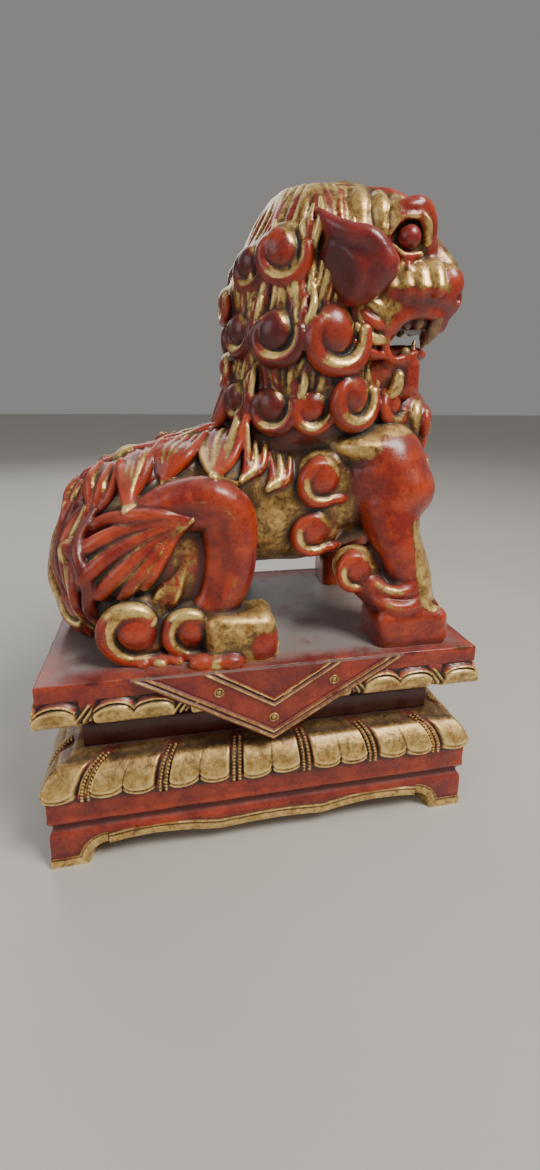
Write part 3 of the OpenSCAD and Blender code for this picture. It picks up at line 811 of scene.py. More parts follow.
def carve_ear(block):
    """A drooping leaf: a rolled upper edge, and a broad face that dishes below it."""
    block.join(egg((13, -44, -3), (20, 13, 20)), "ear", gilt=RED, soft=0.5)
    block.join(limb([[10, -44, 7, 12], [1, -44, 15, 6], [-8, -43, 25, 1.6]]), "ear", gilt=RED, soft=6)
    block.join(limb([[20, -44, 4, 11], [28, -46, -3, 8]]), "ear", gilt=RED, soft=6)
    block.cut(slab_cut((14, -57, 0), (0.15, -1, 0.7), (-30, -66, -30), (45, -34, 35)), soft=3)
    # the fold: proud from the tip down the front edge, and dished behind it
    strand(block, "ear", [[-7, -47, 24, 1.6], [0, -51, 17, 3.6], [10, -53, 11, 5], [21, -53, 7, 5.5],
                          [28, -51, -4, 4.5], [24, -50, -15, 3]], gilt=RED, soft=5)
    block.cut(slab_cut((8, -54.5, -5), (-0.8, -1, -0.5), (-30, -66, -30), (45, -34, 35)), soft=2)
    block.cut(egg((5, -57, -8), (9, 15, 6), frame_at((-0.7, -1, -0.4), (-0.5, 0, 1))), soft=4)
    # the dished face below the fold, painted dark red: painted shade where it faces down
    block.brush(egg((-2, -54, -10), (17, 14, 22)), DARK, soft=5)

# ------------------------------------------------------------------------------------- the plinth

BASE_L, BASE_W = (node_box("frieze_right")[1][0] * 2, -node_box("frieze_right")[0][1] * 2)
SLAB_L, SLAB_W = SLAB_HIGH[0] * 2, SLAB_HIGH[1] * 2
FACES = ("right", "head_end", "left", "tail_end")
MOULDING_THICK, FRIEZE_THICK, BORDER_THICK, APRON_THICK = 19, 10, 4, 10
COVE_UP = 6.5     # height of the frieze's cove over its lower edge


def half_of(face, length, width):
    """Half of one face's length, on a plinth board of this length and width."""
    return (length if face in ("right", "left") else width) / 2


def near(d, width):
    """1 on a line, falling to nothing a little more than width away from it."""
    return np.exp(-((d / width) ** 2))


def rise(d, width):
    """0 until d is 0, then a rounded step to 1 where d is width."""
    t = np.clip(d / width, 0, 1)
    return t * t * (3 - 2 * t)


def arch(q):
    """A half round: 0 at q = 0 and 1, and 1 half way."""
    return np.sqrt(np.clip(1 - (2 * q - 1) ** 2, 0, 1))


def on_face(face, s, inset, z, length, width):
    """A place on one of the plinth's four faces: s along it, and inset in from it."""
    x, y = length / 2 - inset, width / 2 - inset
    places = {"right": (s, -y), "left": (-s, y), "head_end": (x, s), "tail_end": (-x, -s)}
    across, along = np.broadcast_arrays(*places[face])
    return np.stack(np.broadcast_arrays(across, along, z), axis=-1)


def height_fields(height, wrap=False):
    """How proud and how deep each point of a relief lies, for the finish to read."""
    def spread(a, reach):
        for axis in (0, 1):
            pad = [(0, 0), (0, 0)]
            pad[axis] = (reach, reach)
            kind = "wrap" if wrap and axis == 1 else "edge"
            grown = np.pad(a, pad, mode=kind)
            run = np.cumsum(np.insert(grown, 0, 0, axis=axis), axis=axis)
            n = a.shape[axis]
            wide = 2 * reach + 1
            a = (np.take(run, range(wide, wide + n), axis) - np.take(run, range(n), axis)) / wide
        return a

    return height - spread(height, 3), height - spread(height, 9)


def closed_sheet(name, front, back, height, gilt, flat_back=True):
    """A board between two grids of places, walled from edge to edge. A flat back is one face."""
    rows, columns = front.shape[:2]
    number = np.arange(rows * columns).reshape(rows, columns)
    edge = np.concatenate([number[0, :-1], number[:-1, -1], number[-1, :0:-1], number[:0:-1, 0]])
    faces = np.stack([number[:-1, :-1], number[1:, :-1], number[1:, 1:], number[:-1, 1:]], -1)
    faces = faces.reshape(-1, 4).tolist()
    ridge, hollow = height_fields(height)
    layers = {"gilt": gilt, "ridge": ridge, "hollow": hollow}
    n = rows * columns
    if flat_back:
        places = np.vstack([front.reshape(-1, 3), back.reshape(-1, 3)[edge]])
        behind = n + np.arange(len(edge))
        faces.append(behind.tolist())
        layers = {k: np.concatenate([v.ravel(), v.ravel()[edge]]) for k, v in layers.items()}
    else:
        places = np.vstack([front.reshape(-1, 3), back.reshape(-1, 3)])
        behind = n + edge
        faces += [[n + i for i in face[::-1]] for face in faces]
        layers = {k: np.concatenate([v.ravel(), v.ravel()]) for k, v in layers.items()}
    ahead = np.roll(edge, -1)
    faces += np.stack([edge, ahead, np.roll(behind, -1), behind], -1).tolist()
    return worked_mesh(name, places, faces, layers)


CRISP = math.radians(50)    # how far an edge turns before it is shaded crisp


def worked_mesh(name, places, faces, layers):
    """A piece of joinery, with its sharper edges kept crisp."""
    mesh = bpy.data.meshes.new(name)
    mesh.from_pydata((places * MM).tolist(), [], faces)
    return closed_piece(name, mesh, layers, sharp_from=CRISP)


def carved_run(name, face, length, width, profile, thick, relief, step=0.65):
    """A mitred board along one face. profile is [inset, z] upwards, and relief gives height and gilt."""
    half = half_of(face, length, width)
    profile = np.array(profile, float)
    slope = np.gradient(profile, axis=0)
    slope /= np.linalg.norm(slope, axis=1)[:, None]
    u = np.linspace(-1, 1, int(2 * half / step))[None, :]
    z = profile[:, 1:]
    height, gilt = relief(u * half, z, half)
    inset = profile[:, :1] - slope[:, 1:] * height
    z = z + slope[:, :1] * height
    front = on_face(face, u * (half - inset), inset, z, length, width)
    back = on_face(face, u * (half - thick), thick, z, length, width)
    return closed_sheet(name, front, back, height, gilt)


def dense(points, step=0.5):
    """The same line with more points."""
    out = [points[0]]
    for a, b in zip(points[:-1], points[1:]):
        n = max(1, int(math.dist(a, b) / step))
        out += [[a[0] + (b[0] - a[0]) * i / n, a[1] + (b[1] - a[1]) * i / n] for i in range(1, n + 1)]
    return out


def by_hand(s, z, much=0.12):
    """The slow unevenness of a surface finished with a chisel."""
    return much * (np.sin(s / 7.3 + z / 5) + np.sin(s / 3.1 - z / 3.7) * 0.6 + np.sin(s / 17 + 2) * 0.8)


PETALS_LONG, PETALS_SHORT = 6, 4
MOULDING_IN = 16.0
CORD = 3.4        # half the width of the pair of cords between two petals


def petal_count(half):
    return PETALS_LONG if half > 100 else PETALS_SHORT


def petal_relief(low):
    """Petals side by side, each rounded at its foot, with a sunk seat for cords between two of them."""
    def relief(s, z, half):
        pitch = 2 * half / petal_count(half)
        t = np.mod(s / pitch + 0.5, 1)
        side = np.where(t > 0.5, t - 1, t) * pitch
        off = np.abs(side)
        q = np.clip((off - CORD) / (pitch / 2 - CORD), 0, 1)
        edge = low + 1.2 + 5.2 * (1 - arch(q) ** 0.8) + 0.5 * np.sin(s / 9)
        inside = z - edge
        body = 2.3 * rise(inside, 2.4) + 1.1 * arch(q) * near(inside - 7, 6)
        body = body - 0.8 * near(inside - 3.4, 0.65) * (q < 0.99) + 0.35 * near(inside - 5, 0.8)
        notch = rise(off - CORD, 1.3)
        channel = near(off - CORD - 0.2, 0.9)
        seat = 1.7 * rise(z - low - 2, 3) - 1.1 * near(side, 0.7)
        height = body * notch + seat * (1 - notch) - 0.9 * channel * rise(z - low - 3, 3) + by_hand(s, z)
        height = height * rise(low + 21.5 - z, 3)
        gilt = rise(inside + 0.3, 0.8) * (0.92 - 0.25 * near(z - low - 20, 3)) - 0.35 * channel
        gilt = gilt - 0.3 * (1 - notch) - 0.15 * near(inside - 3.4, 0.6)
        return height, gilt
    return relief


def frieze_relief(groove):
    """A cove along a red board, with a soft ridge over it."""
    def relief(s, z, half):
        height = -2.4 * near(z - groove, 3.0) + 0.5 * near(z - groove - 5.5, 2.0) + by_hand(s, z)
        return height, np.full(height.shape, -0.1)
    return relief


SCALLOPS = 52.0   # from one scroll of the border to the next: two scallops
SCROLL = 4.5      # half the width of a scroll


def border_relief(low):
    """Scallops in pairs, with a leaning scroll between one pair and the next."""
    def relief(s, z, half):
        t = np.mod(s / SCALLOPS + 0.5, 1) - 0.5
        side = t * SCALLOPS * np.where(s > 0, 1, -1)
        off = np.abs(side)
        q = np.clip((off - SCROLL) / (SCALLOPS / 2 - SCROLL), 0, 1)
        top = low + 7.2 + 6.0 * arch(q) ** 0.9 + 0.4 * np.sin(s / 5)
        inside = top - z
        outline = 2.2 * rise(inside, 1.3)
        height = outline - 1.5 * near(inside - 3.0, 0.8) + 0.5 * near(inside - 4.9, 1.2)
        lean = side + (z - low - 6) * 0.75
        scroll = 1.6 * near(lean - 1.6, 1.1) + 1.6 * near(lean + 2.0, 1.1) + 1.0 * near(lean + 5.0, 1.0)
        mask = 1 - rise(off - SCROLL + 1.2, 2.4)
        height = np.where(inside > -0.5, height, -0.9) * (1 - mask) + scroll * mask * rise(low + 13 - z, 3)
        gilt = rise(inside - 0.5, 0.9) * 0.95 - 0.4 * near(inside - 2.6, 0.6)
        gilt = gilt * (1 - mask) + (0.25 + 0.6 * rise(scroll, 1.2)) * mask * rise(low + 12.5 - z, 2)
        return height + by_hand(s, z, 0.08), gilt
    return relief


def make_apron(face, half):
    """The apron between two feet: its wavy lower edge carries a gilt band."""
    low, high = node_box("apron_" + face)
    top = float(high[2])
    u = np.linspace(-1, 1, int(half * 3))[None, :]
    edge = float(low[2]) + 0.5 + 2.5 * np.abs(np.cos(1.5 * np.pi * u)) - 1.5 * np.cos(np.pi * u)
    z = edge + (top - edge) * np.linspace(0, 1, 18)[:, None]
    up = z - edge
    height = 0.9 * rise(6.2 - up, 1.2) - 0.7 * near(up - 4.3, 0.6) + by_hand(u * half, z, 0.08)
    gilt = rise(6.6 - up, 1.0) - 0.35 * near(up - 4.3, 0.5)
    front = on_face(face, u * half, -0.4 - height, z, BASE_L, BASE_W)
    back = on_face(face, u * half, APRON_THICK, z, BASE_L, BASE_W)
    return closed_sheet("carved_apron_" + face, front, back, height, gilt)


FOOT_FLAT, FOOT_REACH, FOOT_ARCH = 21.0, 33.0, 14.0
FOOT_THICK = 10


def make_foot(label, end, side):
    """A bracket foot: two wings that meet at the corner, each cut away below in a quarter round."""
    top = float(node_box("foot_head_right")[1][2])
    s = np.linspace(-FOOT_REACH, FOOT_REACH, 111)
    t = np.clip((np.abs(s) - FOOT_FLAT) / (FOOT_REACH - FOOT_FLAT), 0, 1)
    edge = FOOT_ARCH * np.sqrt(1 - (1 - t) ** 2)
    z = edge + (top - edge) * np.linspace(0, 1, 24)[:, None]
    off = np.full(z.shape, 99.0)
    for a, b in zip(s, edge):
        off = np.minimum(off, np.hypot(np.abs(s) - abs(a), z - b))
    band = rise(7.0 - off, 1.2)
    height = 0.8 * band - 0.6 * near(off - 5.2, 0.6) + by_hand(s, z, 0.1)
    gilt = band - 0.3 * near(off - 5.2, 0.5)
    wing = np.abs(s) / FOOT_REACH
    inner = FOOT_THICK + (FOOT_REACH - FOOT_THICK) * wing

    def corner(reach, out):
        """Places on the foot's plan, out proud of it: along the side, round the corner and along the end."""
        x = BASE_L / 2 + out - np.where(s < 0, reach + out * (1 - wing), 0)
        y = -BASE_W / 2 - out + np.where(s > 0, reach + out * (1 - wing), 0)
        return np.stack(np.broadcast_arrays(x * end, y * -side, z), axis=-1)

    front = corner(np.abs(s), height)
    x = BASE_L / 2 - np.where(s < 0, inner, FOOT_THICK)
    y = -BASE_W / 2 + np.where(s > 0, inner, FOOT_THICK)
    back = np.stack(np.broadcast_arrays(x * end, y * -side, z), axis=-1)
    return closed_sheet("carved_" + label, front, back, height, gilt, flat_back=False)


PENDANT_HALF = float(node_box("pendant_right")[1][0])
PENDANT_THICK = float(SLAB_LOW[1] - node_box("pendant_right")[0][1])
PENDANT_DROP = float(SLAB_TOP - node_box("pendant_right")[0][2])
INNER_HALF, INNER_DROP = 36.0, 22.0


def make_pendant(label, side):
    """A hanging triangle of board, with a pair of gilt beads along its edges and a pair in a V above."""
    down = np.linspace(0, 1, 90)[:, None]
    u = np.linspace(-1, 1, 261)[None, :]
    x = u * np.maximum(PENDANT_HALF * (1 - down), 0.25)
    depth = np.broadcast_to(PENDANT_DROP * down, x.shape)

    def in_from(half, drop):
        return ((half - np.abs(x)) * drop - depth * half) / math.hypot(half, drop)

    edge, vee = in_from(PENDANT_HALF, PENDANT_DROP), in_from(INNER_HALF, INNER_DROP)
    beads = near(edge - 1.5, 1.0) + near(edge - 4.7, 1.1) + near(vee - 1.6, 0.95) + near(vee + 1.6, 0.95)
    grooves = near(edge - 3.1, 0.6) + near(vee, 0.6) + 0.6 * near(edge - 6.6, 0.6)
    height = 0.9 * beads - 0.55 * grooves + by_hand(x, depth, 0.1)
    gilt = 0.95 * np.clip(beads, 0, 1) - 0.1
    z = SLAB_TOP - depth
    face = side * (SLAB_W / 2 + PENDANT_THICK + height * rise(depth, 1.5))
    front = np.stack([x, face, z], axis=-1)
    back = np.stack([x, np.full_like(x, side * SLAB_W / 2), z], axis=-1)
    return closed_sheet("carved_" + label, front, back, height, gilt)


RING_STEP = 1.3    # from one point to the next round a whole board


def ring_board(name, length, width, profile, relief):
    """A whole board. profile is [inset, z] from its top out and down, and relief gives height and gilt."""
    profile = np.array(profile, float)
    slope = np.gradient(profile, axis=0)
    slope /= np.linalg.norm(slope, axis=1)[:, None]
    rings, heights, gilts = [], [], []
    for face in FACES:
        half = half_of(face, length, width)
        u = np.linspace(-1, 1, int(2 * half / RING_STEP))[None, :-1]
        height, gilt = relief(u * half, profile[:, :1], profile[:, 1:], half)
        inset = profile[:, :1] + slope[:, 1:] * height
        rings.append(on_face(face, u * (half - inset), inset, profile[:, 1:], length, width))
        heights.append(height)
        gilts.append(gilt)
    places, height, gilt = (np.concatenate(a, axis=1) for a in (rings, heights, gilts))
    rows, columns = places.shape[:2]
    number = np.arange(rows * columns).reshape(rows, columns)
    ahead = np.roll(number, -1, axis=1)
    faces = np.stack([number[:-1], number[1:], ahead[1:], ahead[:-1]], -1).reshape(-1, 4).tolist()
    faces += [number[0].tolist(), number[-1, ::-1].tolist()]
    ridge, hollow = height_fields(height, wrap=True)
    return worked_mesh(name, places.reshape(-1, 3), faces, {"gilt": gilt, "ridge": ridge, "hollow": hollow})


def board_profile(low, high, lip=None):
    """A board's section with its top edge eased. lip is (depth, height) of a rebate under its edge."""
    ease = [[0.9, high], [0.4, high - 0.15], [0.12, high - 0.5], [0, high - 1.1]]
    out = [[12, high], [6, high], [3, high], [1.6, high]] + ease
    if lip is None:
        return out + dense([[0, high - 1.1], [0, low + 0.6]], 1.5)[1:] + [[0.5, low]]
    return (out + dense([[0, high - 1.1], [0, low + lip[1]]], 1.0)[1:] + [[lip[0], low + lip[1] - 0.2]]
            + dense([[lip[0], low + lip[1] - 0.2], [lip[0], low]], 2.0)[1:])


def board_wear(high):
    """A board's top edge, bitten and rubbed through to the gilding under its lacquer."""
    def relief(s, inset, z, half):
        bites = np.clip(np.sin(s / 6.1) + np.sin(s / 2.7 + 1) + np.sin(s / 15), 0, 3) / 3
        on_edge = near(inset - 0.3, 1.8) * near(z - high + 0.4, 1.8)
        height = -0.9 * bites * on_edge + by_hand(s, z, 0.08) * rise(2 - inset, 2)
        return height, 0.95 * on_edge * (0.35 + 0.65 * bites) - 0.15
    return relief


def make_boards():
    slab = ring_board("worked_slab", SLAB_L, SLAB_W, board_profile(SLAB_LOW[2], SLAB_TOP, (4.0, 14.0)),
                      board_wear(SLAB_TOP))
    out = [("slab", slab)]
    for node in ("waist_step", "waist_neck"):
        low, high = node_box(node)
        out.append((node, ring_board("worked_" + node, 2 * high[0], 2 * high[1],
                                     board_profile(low[2], high[2]),
                                     board_wear(high[2]))))
    return out


def moulding_profile(low, high, roll_in):
    """A quarter round on a low upright edge."""
    a = np.radians(np.linspace(0, 90, 40))
    curve = np.stack([roll_in * (1 - np.cos(a)), low + 3 + (high - low - 3) * np.sin(a)], axis=1)
    return dense([[0, low], [0, low + 3]], 0.5) + curve[1:].tolist()


def border_profile(low, high):
    """An upright face, rounded under at its foot."""
    a = np.radians(np.linspace(-80, 0, 9))
    curve = np.stack([3 - 3 * np.cos(a), low + 3 + 3 * np.sin(a)], axis=1)
    return curve.tolist() + dense([[0, low + 3], [0, high]], 0.5)[1:]


# ------------------------------------------------------------------------------------- repeated pieces


def modified(name, tree, places, edges, finish_name):
    """The mesh that a geometry tree makes from a bare mesh of places in millimetres."""
    mesh = bpy.data.meshes.new(name + "_places")
    mesh.from_pydata((np.array(places) * MM).tolist(), edges, [])
    guide = bpy.data.objects.new(name + "_guide", mesh)
    bpy.context.scene.collection.objects.link(guide)
    modifier = guide.modifiers.new(name, "NODES")
    modifier.node_group = tree
    for item in tree.interface.items_tree:
        if item.item_type == "SOCKET" and item.name == "Finish":
            modifier[item.identifier] = finish[finish_name]
    seen = guide.evaluated_get(bpy.context.evaluated_depsgraph_get())
    made = bpy.data.objects.new(name, bpy.data.meshes.new_from_object(seen))
    bpy.context.scene.collection.objects.link(made)
    bpy.data.objects.remove(guide)
    return made


def geometry_tree(name, inputs):
    """A geometry tree with named inputs, ready for its nodes."""
    tree = bpy.data.node_groups.new(name, "GeometryNodeTree")
    tree.interface.new_socket("Geometry", in_out="INPUT", socket_type="NodeSocketGeometry")
    for label, kind, value in inputs:
        tree.interface.new_socket(label, in_out="INPUT", socket_type=kind).default_value = value
    tree.interface.new_socket("Finish", in_out="INPUT", socket_type="NodeSocketMaterial")
    tree.interface.new_socket("Geometry", in_out="OUTPUT", socket_type="NodeSocketGeometry")
    return tree, Nodes(tree), tree.nodes.new("NodeGroupInput").outputs


def finish_tree(tree, nodes, given, geometry):
    """Ends a geometry tree: real meshes, smooth, with their gilding noted and the finish set."""
    real = nodes.add("GeometryNodeRealizeInstances", Geometry=geometry)
    smooth = nodes.add("GeometryNodeSetShadeSmooth", Geometry=real)
    noted = nodes.add("GeometryNodeStoreNamedAttribute", {"data_type": "FLOAT", "domain": "POINT"},
                      Geometry=smooth, Name="gilt", Value=given["Gilding"])
    done = nodes.add("GeometryNodeSetMaterial", Geometry=noted, Material=given["Finish"])
    nodes.feed(tree.nodes.new("NodeGroupOutput"), 0, done)


def stud_tree():
    """A ring with a low dome in it, on every point."""
    tree, nodes, given = geometry_tree("ring studs", [
        ("Ring radius", FLOAT, 0.0024), ("Wire radius", FLOAT, 0.0006), ("Dome radius", FLOAT, 0.0015),
        ("Gilding", FLOAT, 0.9)])
    ring = nodes.add("GeometryNodeCurveToMesh",
                     Curve=nodes.add("GeometryNodeCurvePrimitiveCircle", Radius=given["Ring radius"],
                                     Resolution=28),
                     Profile_Curve=nodes.add("GeometryNodeCurvePrimitiveCircle", Radius=given["Wire radius"],
                                             Resolution=10))
    dome = nodes.add("GeometryNodeTransform", Scale=(1, 1, 0.55),
                     Geometry=nodes.add("GeometryNodeMeshUVSphere", Segments=20, Rings=12,
                                        Radius=given["Dome radius"]))
    both = nodes.add("GeometryNodeJoinGeometry")
    tree.links.new(ring.outputs[0], both.inputs[0])
    tree.links.new(dome.outputs[0], both.inputs[0])
    upright = nodes.add("GeometryNodeTransform", Geometry=both, Rotation=(math.pi / 2, 0, 0))
    placed = nodes.add("GeometryNodeInstanceOnPoints", Points=given["Geometry"], Instance=upright)
    finish_tree(tree, nodes, given, placed)
    return tree


def cord_tree():
    """A twisted cord along every run of edges: small slanting beads, close enough to touch."""
    tree, nodes, given = geometry_tree("twisted cords", [
        ("Bead radius", FLOAT, 0.0012), ("Spacing", FLOAT, 0.0019), ("Slant", VECTOR, (0.0, 0.6, 0.0)),
        ("Gilding", FLOAT, 0.9)])
    run = nodes.add("GeometryNodeResampleCurve", {"mode": "LENGTH"},
                    Curve=nodes.add("GeometryNodeMeshToCurve", Mesh=given["Geometry"]))
    nodes.feed(run, "Length", given["Spacing"])
    bead = nodes.add("GeometryNodeTransform", Scale=(1.0, 1.0, 0.72), Rotation=given["Slant"],
                     Geometry=nodes.add("GeometryNodeMeshUVSphere", Segments=8, Rings=5,
                                        Radius=given["Bead radius"]))
    facing = nodes.add("FunctionNodeAlignRotationToVector", {"axis": "Z"},
                       Vector=nodes.add("GeometryNodeInputTangent"))
    placed = nodes.add("GeometryNodeInstanceOnPoints", Points=run, Instance=bead, Rotation=facing)
    finish_tree(tree, nodes, given, placed)
    return tree


CORD_APART = 1.75   # half the distance between the two cords of a pair
CORD_IN, CORD_UP = -1.9, 0.8    # from the moulding's bare surface to the cords' middles


def cord_places(face):
    """Guide lines for the pair of cords between each two petals on one face of the plinth."""
    low, high = node_box("petal_moulding_" + face)
    profile = np.array(moulding_profile(low[2], high[2], MOULDING_IN))[5:-3:3]
    half = half_of(face, BASE_L, BASE_W)
    count = petal_count(half)
    places, edges = [], []
    for i in range(count):
        for side in (-1, 1):
            s = (i - count / 2 + 0.5) * (2 * half / count) + side * CORD_APART
            line = on_face(face, s / half * (half - profile[:, 0]), profile[:, 0] + CORD_IN,
                           profile[:, 1] + CORD_UP, BASE_L, BASE_W)
            edges += [(len(places) + j, len(places) + j + 1) for j in range(len(line) - 1)]
            places += line.tolist()
    return places, edges

# ------------------------------------------------------------------------------------- finishes


class Nodes:
    """Short calls for building a node tree."""

    def __init__(self, tree):
        self.tree = tree

    def add(self, kind, settings=None, **links):
        """A node. Each link is an input's name, with _ for a space, or i and its number, and its value."""
        node = self.tree.nodes.new(kind)
        for name, value in (settings or {}).items():
            setattr(node, name, value)
        for name, value in links.items():
            numbered = name[0] == "i" and name[1:].isdigit()
            self.feed(node, int(name[1:]) if numbered else name.replace("_", " "), value)
        return node

    def feed(self, node, socket, value):
        """Links a node's input to another node or socket, or sets it to a value."""
        if isinstance(value, bpy.types.Node):
            value = value.outputs[0]
        if isinstance(value, bpy.types.NodeSocket):
            self.tree.links.new(value, node.inputs[socket])
        else:
            node.inputs[socket].default_value = value

    def math(self, operation, a, b=0.0, c=0.0, clamp=False):
        return self.add("ShaderNodeMath", {"operation": operation, "use_clamp": clamp}, i0=a, i1=b, i2=c)

    def scaled(self, value, by, plus):
        """value times by, plus plus."""
        return self.math("MULTIPLY_ADD", value, by, plus)

    def times(self, a, b):
        return self.math("MULTIPLY", a, b)

    def noise(self, place, scale, detail=4.0, roughness=0.6, distortion=0.0):
        return self.add("ShaderNodeTexNoise", Vector=place, Scale=scale, Detail=detail, Roughness=roughness,
                        Distortion=distortion)

    def span(self, value, low, high, to_low=0.0, to_high=1.0):
        """value's range from low to high mapped to another, and clamped."""
        return self.add("ShaderNodeMapRange", {"interpolation_type": "SMOOTHSTEP"}, i0=value, i1=low, i2=high,
                        i3=to_low, i4=to_high)

    def mix(self, share, a, b):
        """Colour a, turning to colour b as share goes to 1."""
        node = self.add("ShaderNodeMix", {"data_type": "RGBA"})
        self.feed(node, 0, share)
        self.feed(node, 6, a)
        self.feed(node, 7, b)
        return node.outputs[2]

    def ramp(self, value, stops):
        """Colours at places along value's range: stops are (place, colour)."""
        node = self.add("ShaderNodeValToRGB", Fac=value)
        stops = list(stops)
        elements = node.color_ramp.elements
        while len(elements) < len(stops):
            elements.new(0.5)
        for element, (at, colour) in zip(elements, stops):
            element.position = at
            element.color = colour
        return node


def node_group(name, inputs, outputs, build):
    """A shader node group. inputs and outputs are (name, socket type, value) and (name, socket type)."""
    tree = bpy.data.node_groups.new(name, "ShaderNodeTree")
    for label, kind, value in inputs:
        socket = tree.interface.new_socket(label, in_out="INPUT", socket_type=kind)
        if value is not None:
            socket.default_value = value
    for label, kind in outputs:
        tree.interface.new_socket(label, in_out="OUTPUT", socket_type=kind)
    nodes = Nodes(tree)
    source, sink = tree.nodes.new("NodeGroupInput"), tree.nodes.new("NodeGroupOutput")
    for label, value in build(nodes, source.outputs).items():
        nodes.feed(sink, label, value)
    return tree


FLOAT, COLOUR, VECTOR = "NodeSocketFloat", "NodeSocketColor", "NodeSocketVector"

INK = (0.012, 0.008, 0.006, 1)
DEEP_RED = (0.070, 0.008, 0.008, 1)
LACQUER_RED, BRIGHT_RED = (0.22, 0.015, 0.009, 1), (0.49, 0.055, 0.012, 1)
# the mane's reds, darker than the rest of the lacquer: painted shade
SHADED_MANE_RED, SHADED_MANE_BRIGHT = (0.165, 0.013, 0.009, 1), (0.38, 0.040, 0.012, 1)
MAROON, MAROON_BRIGHT = (0.16, 0.014, 0.016, 1), (0.30, 0.026, 0.02, 1)
# the waist boards' reds, far darker than the rest: painted shade, for boards in shadow under the slab
SHADED_WAIST_RED, SHADED_WAIST_BRIGHT = (0.055, 0.006, 0.005, 1), (0.10, 0.010, 0.007, 1)
TOOTH_BROWN, TOOTH_BRIGHT = (0.13, 0.065, 0.035, 1), (0.24, 0.13, 0.065, 1)
UMBER = (0.095, 0.045, 0.018, 1)
DULL_GOLD = (0.47, 0.265, 0.066, 1)
PALE_GOLD = (0.93, 0.66, 0.245, 1)
DUST = (0.26, 0.235, 0.23, 1)


def lacquer_and_gold(nodes, given):
    """Red lacquer with gold brushed over it: lighter where it stands proud, a painted highlight, and darker
    where it lies deep, partly grime and partly painted shade.
    """
    place = given["Place"]
    blotch = nodes.noise(place, 60, 5, 0.62)
    fine = nodes.noise(place, 420, 4, 0.65)
    patch = nodes.noise(place, 150, 4, 0.68, 0.8)
    crest = nodes.span(given["Ridge"], 0.16, 0.55, 0.0, 0.5)
    ragged = nodes.math("ADD", nodes.scaled(blotch, 0.6, -0.30), nodes.scaled(patch, 0.7, -0.35))
    lay = nodes.scaled(ragged, given["Raggedness"], nodes.scaled(crest, given["Crests"], given["Gilt"]))
    gold = nodes.span(lay, 0.40, 0.62)
    # how far a place stands proud or lies deep: this drives the painted highlight and the painted shade below
    depth = nodes.scaled(given["Ridge"], 0.8, nodes.times(given["Hollow"], 0.24))
    jagged = nodes.scaled(fine, 0.30, nodes.scaled(patch, 0.24, nodes.math("SUBTRACT", depth, 0.27)))
    # shaded: the red and the gold darkened in hollows, painted shade
    shaded = nodes.span(jagged, -0.30, 0.16, 1.0, 0.0)
    deep = nodes.span(jagged, -0.72, -0.14, 1.0, 0.0)
    # proud places get a brighter red and a paler gold: painted highlight
    proud = nodes.span(depth, 0.15, 0.75)
    glow = nodes.scaled(fine, 0.3, nodes.scaled(proud, 0.12, blotch))
    red = nodes.mix(nodes.span(glow, 0.48, 0.86), given["Red"], given["Bright red"])
    red = nodes.mix(nodes.times(nodes.span(patch, 0.56, 0.74), 0.55), red, DEEP_RED)
    darkened = nodes.scaled(nodes.noise(place, 16, 3, 0.6), 0.9, nodes.scaled(given["Gilt"], -0.9, -0.45))
    red = nodes.mix(nodes.span(darkened, -0.02, 0.55, 0.0, 0.8), red, DEEP_RED)
    red = nodes.mix(nodes.times(shaded, 0.8), red, DEEP_RED)
    tone = nodes.scaled(patch, 0.45, nodes.scaled(fine, 0.40, nodes.scaled(lay, 0.45, -0.30)))
    metal = nodes.ramp(nodes.scaled(proud, 0.14, tone),
                       [(0.0, UMBER), (0.30, UMBER), (0.46, DULL_GOLD), (0.72, PALE_GOLD)])
    metal = nodes.mix(nodes.times(shaded, 0.75), metal, UMBER)
    colour = nodes.mix(gold, red, metal)
    flecks = nodes.times(nodes.span(nodes.noise(place, 260, 3, 0.7), 0.60, 0.70), given["Flecks"])
    # the deepest hollows go near black, partly grime and partly painted shade; the flecks are dirt
    dark = nodes.math("MAXIMUM", nodes.times(deep, given["Grime"]), flecks)
    colour = nodes.mix(dark, colour, INK)
    facing = nodes.add("ShaderNodeSeparateXYZ", Vector=nodes.add("ShaderNodeNewGeometry").outputs["Normal"])
    settled = nodes.times(nodes.span(facing.outputs[2], 0.35, 0.95), nodes.span(blotch, 0.16, 0.50))
    colour = nodes.mix(nodes.times(settled, given["Dust"]), colour, DUST)
    shine = nodes.scaled(fine, 0.20, nodes.scaled(patch, 0.16, 0.12))
    rough = nodes.math("MULTIPLY_ADD", dark, 0.35, nodes.scaled(settled, 0.2, shine), clamp=True)
    metallic = nodes.math("MULTIPLY", nodes.times(gold, 0.55), nodes.math("SUBTRACT", 1.0, dark), clamp=True)
    height = nodes.scaled(gold, 0.3, nodes.scaled(fine, 0.45, nodes.times(patch, 1.0)))
    return {"Colour": colour, "Roughness": rough, "Metallic": metallic, "Height": height}


WOOD_BROWNS = (0.30, 0.17, 0.08, 1), (0.50, 0.33, 0.18, 1)
STEEL_GREYS = (0.45, 0.44, 0.42, 1), (0.60, 0.59, 0.57, 1)
FLOOR_GREYS = (0.56, 0.54, 0.51, 1), (0.60, 0.58, 0.55, 1)


